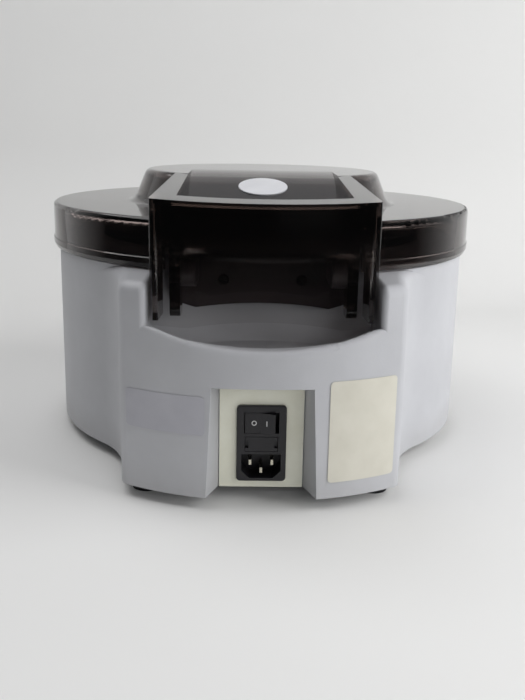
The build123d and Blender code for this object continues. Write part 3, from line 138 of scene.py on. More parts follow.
# pale laminate sheet: matt, hardly clouded
def stageMaterial(name, dark, light):
    material, tree, shader, place = startMaterial(name)
    clouds = addNode(tree, "ShaderNodeTexNoise", {"Vector": place, "Scale": 3.0, "Detail": 3.0})
    tint = addNode(tree, "ShaderNodeValToRGB", {"Fac": clouds.outputs["Fac"]})
    tint.color_ramp.elements[0].color = colour(dark)
    tint.color_ramp.elements[1].color = colour(light)
    tree.links.new(tint.outputs["Color"], shader.inputs["Base Color"])
    shader.inputs["Roughness"].default_value = 0.75
    shader.inputs["Specular IOR Level"].default_value = 0.2
    # the sheet has one side, so a view from behind the wall looks through it
    behind = addNode(tree, "ShaderNodeNewGeometry").outputs["Backfacing"]
    clear = addNode(tree, "ShaderNodeBsdfTransparent").outputs["BSDF"]
    sheet = addNode(tree, "ShaderNodeMixShader", {0: behind, 1: shader.outputs["BSDF"], 2: clear})
    tree.links.new(sheet.outputs["Shader"], tree.nodes["Material Output"].inputs["Surface"])
    return material


def setStage():
    s = stageSetup
    # floor and wall are one sheet with a wide bend between them
    bend = s["bendRadius"]
    profile = [(s["floorFrom"], 0), (s["wallBehind"] + bend, 0)]
    for i in range(1, s["bendSteps"] + 1):
        turn = math.pi / 2 * i / s["bendSteps"]
        profile.append((s["wallBehind"] + bend - bend * math.sin(turn), bend - bend * math.cos(turn)))
    profile.append((s["wallBehind"], s["wallTop"]))
    mesh = bpy.data.meshes.new("backdrop")
    form = bmesh.new()
    rows = [[form.verts.new(point(x, y, z)) for x in (-s["halfWidth"], s["halfWidth"])] for y, z in profile]
    for low, high in zip(rows, rows[1:]):
        form.faces.new((low[0], high[0], high[1], low[1]))
    form.to_mesh(mesh)
    form.free()
    for face in mesh.polygons:
        face.use_smooth = True
    mesh.materials.append(stageMaterial("paleLaminate", s["floorDarkHex"], s["floorHex"]))
    backdrop = bpy.data.objects.new("backdrop", mesh)
    scene.collection.objects.link(backdrop)

    world = bpy.data.worlds.new("softRoom")
    world.use_nodes = True
    tree = world.node_tree
    # the room is bright low down behind the machine, dimmer overhead and on the camera's side
    heading = addNode(tree, "ShaderNodeTexCoord").outputs["Generated"]
    parts = addNode(tree, "ShaderNodeSeparateXYZ", {"Vector": heading})
    low, high = s["ceilingFrom"]
    rising = {"Value": parts.outputs["Z"], "From Min": low, "From Max": high}
    overhead = addNode(tree, "ShaderNodeMapRange", rising)
    low, high = s["dimFrom"]
    nearing = {"Value": parts.outputs["Y"], "From Min": low, "From Max": high}
    side = addNode(tree, "ShaderNodeMapRange", nearing)
    seen = addNode(tree, "ShaderNodeLightPath").outputs["Is Camera Ray"]
    tone = colour(s["litHex"])
    shares = (overhead.outputs["Result"], side.outputs["Result"], seen)
    for share, code in zip(shares, ("ceilingHex", "dimHex", "seenHex")):
        mixed = {"Factor": share, "A": tone, "B": colour(s[code])}
        tone = addNode(tree, "ShaderNodeMix", mixed, data_type="RGBA").outputs["Result"]
    tree.links.new(tone, tree.nodes["Background"].inputs["Color"])
    scene.world = world
    for name in ("key", "top", "fill"):
        data = bpy.data.lights.new(name + "Lamp", "AREA")
        data.energy = s[name + "Power"]
        data.size = s[name + "Size"]
        lamp = bpy.data.objects.new(name + "Lamp", data)
        lamp.location = point(*s[name + "Place"])
        aim = point(*s["aimAt"]) - lamp.location
        lamp.rotation_euler = aim.to_track_quat("-Z", "Y").to_euler()
        lamp.visible_glossy = name == "top"  # the lid would mirror the low lamps as white patches
        scene.collection.objects.link(lamp)


setStage()

print("materials")


housingFinish = {
    "dark": "#B7B8BC",
    "light": "#C2C3C7",
    "dirt": "#8D8A84",
    "dirtZ": (0.008, 0.03),  # metres of height over which the dirt fades out
    "dirtShare": 0.35,
    "roughness": (0.42, 0.56),
}


# light grey ABS, moulded in a spark-eroded tool: matt, clouded a little, dirty near the floor
def mouldedHousingAbs():
    s = housingFinish
    material, tree, shader, place = startMaterial("mouldedHousingAbs")
    # the grain is 1.4 mm, coarser than the real one, which would not show
    grain = addNode(tree, "ShaderNodeTexNoise", {"Vector": place, "Scale": 700.0, "Detail": 2.0})
    cloudy = {"Vector": place, "Scale": 14.0, "Detail": 4.0, "Roughness": 0.6}
    clouds = addNode(tree, "ShaderNodeTexNoise", cloudy)
    tint = addNode(tree, "ShaderNodeValToRGB", {"Fac": clouds.outputs["Fac"]})
    tint.color_ramp.elements[0].position = 0.3
    tint.color_ramp.elements[1].position = 0.7
    tint.color_ramp.elements[0].color = colour(s["dark"])
    tint.color_ramp.elements[1].color = colour(s["light"])
    axes = addNode(tree, "ShaderNodeSeparateXYZ", {"Vector": place})
    start, end = s["dirtZ"]
    fading = {"Value": axes.outputs["Z"], "From Min": start, "From Max": end, "To Min": 1.0, "To Max": 0.0}
    low = addNode(tree, "ShaderNodeMapRange", fading)
    smear = addNode(tree, "ShaderNodeTexNoise", {"Vector": place, "Scale": 45.0, "Detail": 5.0})
    smeared = {0: low.outputs["Result"], 1: smear.outputs["Fac"]}
    dirt = addNode(tree, "ShaderNodeMath", smeared, operation="MULTIPLY").outputs["Value"]
    faint = addNode(tree, "ShaderNodeMath", {0: dirt, 1: s["dirtShare"]}, operation="MULTIPLY")
    dirtied = {"Factor": faint.outputs["Value"], "A": tint.outputs["Color"], "B": colour(s["dirt"])}
    mixed = addNode(tree, "ShaderNodeMix", dirtied, data_type="RGBA")
    tree.links.new(mixed.outputs["Result"], shader.inputs["Base Color"])
    smooth, dull = s["roughness"]
    uneven = {"Value": clouds.outputs["Fac"], "To Min": smooth, "To Max": dull}
    rough = addNode(tree, "ShaderNodeMapRange", uneven)
    tree.links.new(rough.outputs["Result"], shader.inputs["Roughness"])
    grainy = {"Height": grain.outputs["Fac"], "Strength": 0.12, "Distance": 0.0004}
    bump = addNode(tree, "ShaderNodeBump", grainy)
    tree.links.new(bump.outputs["Normal"], shader.inputs["Normal"])
    return material


lidFinish = {
    "paleBrown": "#645A57",
    "wipedBrown": "#6B615E",
    # the box behind the hinge takes a darker brown than the disc: painted shade on the same plastic
    "hoodShadeBrown": "#453934",
    "hoodShadeFrom": (0.143, 0.145),  # Y in metres where the box behind the hinge gets its darker brown
    "lugsEnd": (0.1605, 0.162),  # Y behind the lugs, from where the box's walls may be clearer
    "clearZ": (0.134, 0.172),  # the walls are clearest below the first height, full above the second
    "clearest": 0.93,
    "roughness": (0.03, 0.11),
}


# smoked polycarbonate, moulded in a polished tool: glossy outside, brown where light comes through, with
# painted shade as a darker brown on the box behind the hinge
def smokedPolycarbonate():
    s = lidFinish
    material, tree, shader, place = startMaterial("smokedPolycarbonate")
    wiped = {"Vector": place, "Scale": 30.0, "Detail": 6.0, "Roughness": 0.7}
    wipes = addNode(tree, "ShaderNodeTexNoise", wiped)
    axes = addNode(tree, "ShaderNodeSeparateXYZ", {"Vector": place})
    browns = {"Factor": wipes.outputs["Fac"], "A": colour(s["paleBrown"]), "B": colour(s["wipedBrown"])}
    disc = addNode(tree, "ShaderNodeMix", browns, data_type="RGBA")
    # painted shade: the box behind the hinge is tinted darker than the disc, though it is the same plastic
    start, end = s["hoodShadeFrom"]
    darkening = {"Value": axes.outputs["Y"], "From Min": start, "From Max": end}
    back = addNode(tree, "ShaderNodeMapRange", darkening)
    joined = {"Factor": back.outputs["Result"], "A": disc.outputs["Result"], "B": colour(s["hoodShadeBrown"])}
    tint = addNode(tree, "ShaderNodeMix", joined, data_type="RGBA")
    tree.links.new(tint.outputs["Result"], shader.inputs["Base Color"])
    # the box's walls are clearer low down, where lamp light gets through them into the pocket
    start, end = s["clearZ"]
    fading = {
        "Value": axes.outputs["Z"],
        "From Min": start,
        "From Max": end,
        "To Min": s["clearest"],
        "To Max": 0.0,
    }
    thin = addNode(tree, "ShaderNodeMapRange", fading)
    start, end = s["lugsEnd"]
    clearing = {"Value": axes.outputs["Y"], "From Min": start, "From Max": end}
    behindLugs = addNode(tree, "ShaderNodeMapRange", clearing)
    both = {0: thin.outputs["Result"], 1: behindLugs.outputs["Result"]}
    passed = addNode(tree, "ShaderNodeMath", both, operation="MULTIPLY")
    cover = addNode(tree, "ShaderNodeMath", {0: 1.0, 1: passed.outputs["Value"]}, operation="SUBTRACT")
    tree.links.new(cover.outputs["Value"], shader.inputs["Alpha"])
    smooth, dull = s["roughness"]
    uneven = {"Value": wipes.outputs["Fac"], "To Min": smooth, "To Max": dull}
    rough = addNode(tree, "ShaderNodeMapRange", uneven)
    tree.links.new(rough.outputs["Result"], shader.inputs["Roughness"])
    waves = addNode(tree, "ShaderNodeTexNoise", {"Vector": place, "Scale": 8.0, "Detail": 1.0})
    rolling = {"Height": waves.outputs["Fac"], "Strength": 0.05, "Distance": 0.002}
    bump = addNode(tree, "ShaderNodeBump", rolling)
    tree.links.new(bump.outputs["Normal"], shader.inputs["Normal"])
    shader.inputs["Transmission Weight"].default_value = 1.0
    shader.inputs["IOR"].default_value = 1.52
    return material


# an opaque moulding: its two tones, roughness and the size of its grain in mm
def mouldedPlastic(name, dark, light, roughness, grain=1.2, strength=0.15):
    material, tree, shader, place = startMaterial(name)
    clouds = addNode(tree, "ShaderNodeTexNoise", {"Vector": place, "Scale": 60.0, "Detail": 4.0})
    tint = addNode(tree, "ShaderNodeValToRGB", {"Fac": clouds.outputs["Fac"]})
    tint.color_ramp.elements[0].position = 0.3
    tint.color_ramp.elements[1].position = 0.7
    tint.color_ramp.elements[0].color = colour(dark)
    tint.color_ramp.elements[1].color = colour(light)
    tree.links.new(tint.outputs["Color"], shader.inputs["Base Color"])
    uneven = {"Value": clouds.outputs["Fac"], "To Min": roughness - 0.05, "To Max": roughness + 0.07}
    rough = addNode(tree, "ShaderNodeMapRange", uneven)
    tree.links.new(rough.outputs["Result"], shader.inputs["Roughness"])
    speck = addNode(tree, "ShaderNodeTexNoise", {"Vector": place, "Scale": 1000.0 / grain, "Detail": 2.0})
    grainy = {"Height": speck.outputs["Fac"], "Strength": strength, "Distance": 0.0003}
    bump = addNode(tree, "ShaderNodeBump", grainy)
    tree.links.new(bump.outputs["Normal"], shader.inputs["Normal"])
    return material


# bare metal: brushed along the axis whose stretch is small, or turned in rings about the drum's axis;
# the streaks are lines mm apart, and the rings 2 pi times that, coarse enough to show
def brushedMetal(name, dark, light, roughness, lines=0.7, ringed=False, stretch=(1, 1, 1)):
    material, tree, shader, place = startMaterial(name)
    if ringed:
        centred = addNode(tree, "ShaderNodeMapping", {"Vector": place, "Location": (0, -drumY * mm, 0)})
        waves = {
            "Vector": centred.outputs["Vector"],
            "Scale": 1000.0 / (lines * 20),  # the texture's waves have 20 radians to its unit
            "Distortion": 1.5,
            "Detail": 3.0,
            "Detail Scale": 2.0,
        }
        rings = addNode(tree, "ShaderNodeTexWave", waves, wave_type="RINGS", rings_direction="Z")
        pattern = rings.outputs["Fac"]
    else:
        drawn = addNode(tree, "ShaderNodeMapping", {"Vector": place, "Scale": stretch})
        fine = {"Vector": drawn.outputs["Vector"], "Scale": 1000.0 / lines, "Detail": 3.0}
        streaks = addNode(tree, "ShaderNodeTexNoise", fine)
        pattern = streaks.outputs["Fac"]
    clouds = addNode(tree, "ShaderNodeTexNoise", {"Vector": place, "Scale": 40.0, "Detail": 3.0})
    tint = addNode(tree, "ShaderNodeValToRGB", {"Fac": clouds.outputs["Fac"]})
    tint.color_ramp.elements[0].color = colour(dark)
    tint.color_ramp.elements[1].color = colour(light)
    tree.links.new(tint.outputs["Color"], shader.inputs["Base Color"])
    shader.inputs["Metallic"].default_value = 1.0
    uneven = {"Value": pattern, "To Min": roughness - 0.06, "To Max": roughness + 0.1}
    rough = addNode(tree, "ShaderNodeMapRange", uneven)
    tree.links.new(rough.outputs["Result"], shader.inputs["Roughness"])
    bump = addNode(tree, "ShaderNodeBump", {"Height": pattern, "Strength": 0.12, "Distance": 0.0002})
    tree.links.new(bump.outputs["Normal"], shader.inputs["Normal"])
    return material


# cream powder coat on a steel plate: faint orange peel, unevenly yellowed
def creamPowderCoat(dark, light):
    material, tree, shader, place = startMaterial("creamPowderCoat")
    cloudy = {"Vector": place, "Scale": 38.0, "Detail": 5.0, "Roughness": 0.65}
    clouds = addNode(tree, "ShaderNodeTexNoise", cloudy)
    tint = addNode(tree, "ShaderNodeValToRGB", {"Fac": clouds.outputs["Fac"]})
    tint.color_ramp.elements[0].position = 0.32
    tint.color_ramp.elements[1].position = 0.68
    tint.color_ramp.elements[0].color = colour(dark)
    tint.color_ramp.elements[1].color = colour(light)
    tree.links.new(tint.outputs["Color"], shader.inputs["Base Color"])
    peel = addNode(tree, "ShaderNodeTexNoise", {"Vector": place, "Scale": 650.0, "Detail": 2.0})
    peeling = {"Height": peel.outputs["Fac"], "Strength": 0.2, "Distance": 0.0003}
    bump = addNode(tree, "ShaderNodeBump", peeling)
    tree.links.new(bump.outputs["Normal"], shader.inputs["Normal"])
    shader.inputs["Roughness"].default_value = 0.42
    return material


# clear drawn glass: a faint film makes its shine uneven
def fuseGlass(tone):
    material, tree, shader, place = startMaterial("fuseGlass")
    film = addNode(tree, "ShaderNodeTexNoise", {"Vector": place, "Scale": 220.0})
    uneven = {"Value": film.outputs["Fac"], "To Min": 0.02, "To Max": 0.08}
    rough = addNode(tree, "ShaderNodeMapRange", uneven)
    tree.links.new(rough.outputs["Result"], shader.inputs["Roughness"])
    shader.inputs["Base Color"].default_value = colour(tone)
    shader.inputs["Transmission Weight"].default_value = 1.0
    shader.inputs["IOR"].default_value = 1.5
    return material


# lacquered glass-fibre laminate: green, with copper tracks raised under the lacquer
def circuitLaminate(dark, light, track):
    material, tree, shader, place = startMaterial("circuitLaminate")
    grid = {
        "Vector": place,
        "Scale": 180.0,
        "Mortar Size": 0.05,
        "Color1": colour(dark),
        "Color2": colour(light),
        "Mortar": colour(track),
    }
    tracks = addNode(tree, "ShaderNodeTexBrick", grid)
    tree.links.new(tracks.outputs["Color"], shader.inputs["Base Color"])
    shader.inputs["Roughness"].default_value = 0.3
    raised = {"Height": tracks.outputs["Fac"], "Strength": 0.2, "Distance": 0.0001}
    bump = addNode(tree, "ShaderNodeBump", raised)
    tree.links.new(bump.outputs["Normal"], shader.inputs["Normal"])
    return material


# each entry gives its tones and its roughness, and the housing and the lid have theirs above
materials = {
    "housing": mouldedHousingAbs(),
    "lid": smokedPolycarbonate(),
    # glass-filled nylon, moulded: satin black with soft highlights
    "blackNylon": mouldedPlastic("blackNylon", "#1B1A1D", "#232226", 0.38),
    # ABS, moulded: a deeper, duller black
    "blackAbs": mouldedPlastic("blackAbs", "#151416", "#1C1B1E", 0.45),
    # dyed ABS, moulded: dull brownish black
    "charcoalAbs": mouldedPlastic("charcoalAbs", "#332C2D", "#3C3435", 0.5),
    # vinyl film: smooth, shiny white
    "vinylWhite": mouldedPlastic("vinylWhite", "#DADBDF", "#E2E3E7", 0.3, grain=3.0, strength=0.05),
    # polyester labels, printed over: satin grey, and an ivory yellowed by age
    "labelGrey": mouldedPlastic("labelGrey", "#B1B1B9", "#B9B9C0", 0.38, grain=2.5, strength=0.08),
    "labelIvory": mouldedPlastic("labelIvory", "#CFCCBF", "#D7D4C8", 0.42, grain=2.5, strength=0.08),
    # undyed nylon, moulded: waxy cream
    "naturalNylon": mouldedPlastic("naturalNylon", "#D4CDB8", "#DDD7C4", 0.45),
    # textured polyester film: matt slate blue with a fine, even grain
    "keypadFilm": mouldedPlastic("keypadFilm", "#2B3A4E", "#2F3F54", 0.5, grain=1.0, strength=0.25),
    # dyed ABS keys, moulded: plain matt colours
    "greenKey": mouldedPlastic("greenKey", "#2F8A48", "#35944F", 0.5),
    "redKey": mouldedPlastic("redKey", "#B22A24", "#BC312A", 0.5),
    "greyKey": mouldedPlastic("greyKey", "#C3C6CB", "#CBCED3", 0.5),
    # tinted acrylic, polished: near black and shiny; unlit parts hardly show against it
    "displayGlass": mouldedPlastic("displayGlass", "#0B100D", "#0E1411", 0.12, strength=0.02),
    "displayParts": mouldedPlastic("displayParts", "#1A211D", "#202823", 0.5),
    "segmentGrey": mouldedPlastic("segmentGrey", "#252B27", "#2A302C", 0.3),
    # rubber, moulded: dull black with a coarse grain
    "blackRubber": mouldedPlastic("blackRubber", "#18181A", "#222224", 0.72, grain=1.6, strength=0.35),
    # sprayed enamel on a casting: lumpy dark grey
    "motorPaint": mouldedPlastic("motorPaint", "#232427", "#2B2C30", 0.5, grain=1.5, strength=0.3),
    # pad-printed ink: flat off-white
    "markPaint": mouldedPlastic("markPaint", "#D8D8D8", "#E4E4E4", 0.5),
    # stainless steel, spun: rings round the drum's axis
    "spunSteel": brushedMetal("spunSteel", "#B7B8B8", "#C6C7C7", 0.3, ringed=True),
    # zinc-plated sheet steel, pressed: dull, with the rolling's lines across the machine
    "pressedSteel": brushedMetal("pressedSteel", "#A9AAAB", "#B9BABB", 0.38, stretch=(0.06, 1, 1)),
    # blackened steel: dark, with soft metal highlights
    "blackenedSteel": brushedMetal("blackenedSteel", "#262627", "#303031", 0.42, lines=0.4),
    # zinc-plated screws: slightly yellow grey
    "zincScrew": brushedMetal("zincScrew", "#A3A49F", "#B5B6B1", 0.32, lines=0.4),
    # aluminium, turned: bright rings round the drum's axis
    "turnedAluminium": brushedMetal("turnedAluminium", "#BDBEBF", "#CACBCC", 0.34, ringed=True),
    # steel, drawn and polished: bright, with upright lines
    "plainSteel": brushedMetal("plainSteel", "#B4B5B6", "#C4C5C6", 0.26, stretch=(1, 1, 0.1)),
    # nickel-plated brass: the shiniest metal here, a little warm
    "nickelBrass": brushedMetal("nickelBrass", "#C9C4B2", "#D6D2C3", 0.25),
    "powderCoat": creamPowderCoat("#E6E5D3", "#EEEEDF"),
    "fuseGlass": fuseGlass("#DCE6E4"),
    "laminate": circuitLaminate("#1D5A32", "#205F36", "#3B8A52"),
}

sleeves = [f"tube_sleeve_{i}" for i in range(1, 9)]
# which nodes each of them covers
dressing = {
    "housing": ["housing"],
    "lid": ["lid"],
    "charcoalAbs": ["hinge_block"],
    "blackAbs": ["rotor_knob", "lid_switch", "speed_sensor"],
    "blackNylon": ["inlet", "rocker", "fuse_drawer", "hinge_bushes"],
    "blackenedSteel": ["block_screws", "hinge_pins"],
    "vinylWhite": ["badge"],
    "labelGrey": ["mark_label"],
    "labelIvory": ["data_label"],
    "naturalNylon": ["board_spacers"],
    "keypadFilm": ["keypad_panel"],
    "greenKey": ["start_key"],
    "redKey": ["stop_key"],
    "greyKey": ["down_key", "up_key", "lid_release_key"],
    "displayGlass": ["display_window"],
    "displayParts": ["display_module"],
    "blackRubber": ["feet", "lid_seal", "motor_boot", "motor_mounts", "sleeve_cushions"],
    "motorPaint": ["motor_case", "latch_solenoid"],
    "spunSteel": ["bowl"],
    "pressedSteel": ["base_pan", "motor_plate", "latch_frame", "striker"],
    "zincScrew": ["pan_screws", "foot_screws", "motor_screws", "striker_screws"],
    "turnedAluminium": ["rotor"],
    "plainSteel": ["drive_shaft", "latch_bolt", "motor_bearings"] + sleeves,
    "nickelBrass": ["inlet_pins"],
    "powderCoat": ["inlet_panel"],
    "fuseGlass": ["fuses"],
    "laminate": ["control_board", "power_board"],
}


def dressNodes():
    for name, nodes in dressing.items():
        for node in nodes:
            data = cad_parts[node].data
            data.materials.clear()
            data.materials.append(materials[name])
    left = set(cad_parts) - {n for nodes in dressing.values() for n in nodes}
    print("nodes without a finish:", sorted(left))


dressNodes()

print("details")


# one finished piece: its place is in its mesh and its object stays at the origin
def finishPiece(name, mesh, material, body, replaced=()):
    mesh.name = name
    mesh.materials.clear()
    mesh.materials.append(materials[material])
    piece = bpy.data.objects.new(name, mesh)
    scene.collection.objects.link(piece)
    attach(piece, body)
    if replaced:
        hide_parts(*replaced)


# the pocket's lip is one even curve from corner to corner, with a fuller round than the solid's
lipSetup = {
    "half": 71.5,
    "cornerReach": 8,  # mm past the pocket's side that still rise with the corner
    "middleZ": 102.5,
    "arcRadius": 228.0,
    "flatZ": 106.4,  # the solid's lip gets no higher than this
    "round": 3.0,
    "roundEdge": 0.3,  # the fuller round reaches this much deeper than the solid's
    "roundFade": 0.2,  # and fades out over this depth
    "fuller": 0.5,
    "humpRadius": 159.64,
    "humpY": 50.36,
    # mm of rise by the distance from the middle, then the share of it that is left by Y and by height
    "lift": [(44, 0), (46, 0.2), (49, 1.0), (55.2, 2.8), (62.5, 5.2), (69, 7.0), (71.5, 7.6)],
    "fadeY": [(150, 0), (160, 0.12), (172, 0.4), (184.4, 0.64), (188, 0.72), (190.2, 0.87), (191.7, 1)],
    "fadeZ": [(88, 0), (98, 1), (108, 1), (125, 0)],
}


def readTable(table, value):
    if value <= table[0][0]:
        return table[0][1]
    for (low, first), (high, last) in zip(table, table[1:]):
        if value <= high:
            return first + (last - first) * (value - low) / (high - low)
    return table[-1][1]


# how far a point of the housing, in mm from the drum's axis, rises
def lipRise(x, y, z):
    s = lipSetup
    side = abs(x)
    if side > s["half"] + s["cornerReach"] or y < s["fadeY"][0][0]:
        return 0.0
    fade = readTable(s["fadeZ"], z)
    rise = readTable(s["lift"], side) * readTable(s["fadeY"], y)
    depth = s["humpY"] + math.sqrt(s["humpRadius"] ** 2 - x * x) - y
    near = min(max((s["round"] + s["roundEdge"] - depth) / s["roundFade"], 0.0), 1.0)
    crest = min(s["middleZ"] + s["arcRadius"] - math.sqrt(s["arcRadius"] ** 2 - x * x), s["flatZ"])
    below = min(max(crest - z, 0.0), s["round"])
    middle = max(1.0 - (x / s["half"]) ** 2, 0.0)
    return fade * (rise - s["fuller"] * middle * near * below)


# the normal of a surface that rises by lipRise, from its old normal
def risenNormal(normal, x, y, z):
    step = 0.01
    here = lipRise(x, y, z)
    if not here:
        return normal
    alongX = (lipRise(x + step, y, z) - here) / step
    alongY = (lipRise(x, y + step, z) - here) / step
    alongZ = (lipRise(x, y, z + step) - here) / step
    stretch = max(1.0 + alongZ, 0.2)  # a squeezed spot keeps a sound slope
    up = normal.z / stretch
    return Vector((normal.x - up * alongX, normal.y - up * alongY, up)).normalized()


# the housing's mesh, merged, with its lip raised and its own normals kept
def addHousing():
    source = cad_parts["housing"].data
    placeOf, places, faces, normals = {}, [], [], []
    given = [Vector(item.vector) for item in source.corner_normals]
    for face in source.polygons:
        loop = []
        for vertex in face.vertices:
            spot = source.vertices[vertex].co
            key = tuple(round(value * 1e6) for value in spot)  # corners within a micrometre are one
            if key not in placeOf:
                placeOf[key] = len(places)
                places.append(spot.copy())
            loop.append(placeOf[key])
        if len(set(loop)) == len(loop):
            faces.append(loop)
            normals.extend(given[corner] for corner in face.loop_indices)
    inMm = [(spot.x / mm, spot.y / mm - drumY, spot.z / mm) for spot in places]
    corners = (vertex for loop in faces for vertex in loop)
    turned = [risenNormal(normal, *inMm[corner]) for corner, normal in zip(corners, normals)]
    for spot, place in zip(places, inMm):
        spot.z += lipRise(*place) * mm
    mesh = bpy.data.meshes.new("mouldedHousing")
    mesh.from_pydata(places, [], faces)
    for face in mesh.polygons:
        face.use_smooth = True
    mesh.normals_split_custom_set(turned)
    finishPiece("mouldedHousing", mesh, "housing", "base", ("housing",))


# runs a node tree on a mesh of points and gives back the plain mesh that it makes
def growMesh(tree, start, values):
    host = bpy.data.objects.new("host", start)
    scene.collection.objects.link(host)
    modifier = host.modifiers.new("grow", "NODES")
    modifier.node_group = tree
    for item in tree.interface.items_tree:
        if item.in_out == "INPUT" and item.name in values:
            modifier[item.identifier] = values[item.name]
    depsgraph = bpy.context.evaluated_depsgraph_get()
    depsgraph.update()
    mesh = bpy.data.meshes.new_from_object(host.evaluated_get(depsgraph), depsgraph=depsgraph)
    host.modifiers.remove(modifier)
    bpy.data.objects.remove(host)
    return mesh


# a new node tree and its inputs; an input without a value takes a material
def startTree(name, inputs):
    tree = bpy.data.node_groups.new(name, "GeometryNodeTree")
    tree.interface.new_socket("Geometry", in_out="INPUT", socket_type="NodeSocketGeometry")
    for label, value in inputs.items():
        kind = "Material" if value is None else "Int" if isinstance(value, int) else "Float"
        socket = tree.interface.new_socket(label, in_out="INPUT", socket_type="NodeSocket" + kind)
        if value is not None:
            socket.default_value = value
    tree.interface.new_socket("Geometry", in_out="OUTPUT", socket_type="NodeSocketGeometry")
    given = addNode(tree, "NodeGroupInput")
    return tree, given.outputs


def endTree(tree, geometry, material):
    whole = addNode(tree, "GeometryNodeRealizeInstances", {"Geometry": geometry}).outputs["Geometry"]
    painted = addNode(tree, "GeometryNodeSetMaterial", {"Geometry": whole, "Material": material})
    addNode(tree, "NodeGroupOutput", {"Geometry": painted.outputs["Geometry"]})
    return tree


# sizes in metres
screwHead = {
    "Head Radius": 0.0036,
    "Head Height": 0.0022,
    "Cross Width": 0.0009,
    "Cross Length": 0.0042,
    "Seed": 7,
    "Material": None,
}


# pan heads with a cross recess, one on each point, facing along the point's stored direction
def screwHeadTree():
    tree, given = startTree("crossHeadScrews", screwHead)
    height, length, width = (given[label] for label in ("Head Height", "Cross Length", "Cross Width"))
    half = addNode(tree, "ShaderNodeMath", {0: height, 1: 0.5}, operation="MULTIPLY").outputs["Value"]
    quarter = addNode(tree, "ShaderNodeMath", {0: height, 1: 0.25}, operation="MULTIPLY").outputs["Value"]
    lower = {"Vertices": 32, "Radius": given["Head Radius"], "Depth": half}
    disc = addNode(tree, "GeometryNodeMeshCylinder", lower)
    rise = addNode(tree, "ShaderNodeCombineXYZ", {"Z": quarter}).outputs["Vector"]
    seated = addNode(tree, "GeometryNodeTransform", {"Geometry": disc.outputs["Mesh"], "Translation": rise})
    # the crown narrows towards its top
    upper = {"Mesh": seated.outputs["Geometry"], "Selection": disc.outputs["Top"], "Offset Scale": half}
    crown = addNode(tree, "GeometryNodeExtrudeMesh", upper, mode="FACES")
    narrower = {"Geometry": crown.outputs["Mesh"], "Selection": crown.outputs["Top"], "Scale": 0.72}
    head = addNode(tree, "GeometryNodeScaleElements", narrower).outputs["Geometry"]
    # two crossed bars are cut out of it
    lift = addNode(tree, "ShaderNodeCombineXYZ", {"Z": height}).outputs["Vector"]
    for x, y in ((length, width), (width, length)):
        size = addNode(tree, "ShaderNodeCombineXYZ", {"X": x, "Y": y, "Z": height}).outputs["Vector"]
        bar = addNode(tree, "GeometryNodeMeshCube", {"Size": size}).outputs["Mesh"]
        raised = addNode(tree, "GeometryNodeTransform", {"Geometry": bar, "Translation": lift})
        pair = {"Mesh 1": head, "Mesh 2": raised.outputs["Geometry"]}
        head = addNode(tree, "GeometryNodeMeshBoolean", pair, operation="DIFFERENCE").outputs["Mesh"]
    facing = addNode(tree, "GeometryNodeInputNamedAttribute", {"Name": "facing"}, data_type="FLOAT_VECTOR")
    outward = {"Vector": facing.outputs["Attribute"]}
    aimed = addNode(tree, "FunctionNodeAlignRotationToVector", outward, axis="Z")
    # each head stands at its own angle, as tightened
    spin = addNode(tree, "FunctionNodeRandomValue", {"Seed": given["Seed"]}, data_type="FLOAT")
    spin.inputs[3].default_value = math.pi
    about = addNode(tree, "FunctionNodeAxisAngleToRotation", {"Axis": (0, 0, 1), "Angle": spin.outputs[1]})
    both = {"Rotation": aimed.outputs["Rotation"], "Rotate By": about.outputs["Rotation"]}
    turned = addNode(tree, "FunctionNodeRotateRotation", both, rotation_space="LOCAL")
    copies = {"Points": given["Geometry"], "Instance": head, "Rotation": turned.outputs["Rotation"]}
    placed = addNode(tree, "GeometryNodeInstanceOnPoints", copies)
    return endTree(tree, placed.outputs["Instances"], given["Material"])


# sizes in metres
rubberFoot = {
    "Top Radius": 0.0118,
    "Toe Radius": 0.0099,
    "Height": 0.0079,
    "Groove": 0.0003,
    "Grooves": 4.0,
    "Material": None,
}


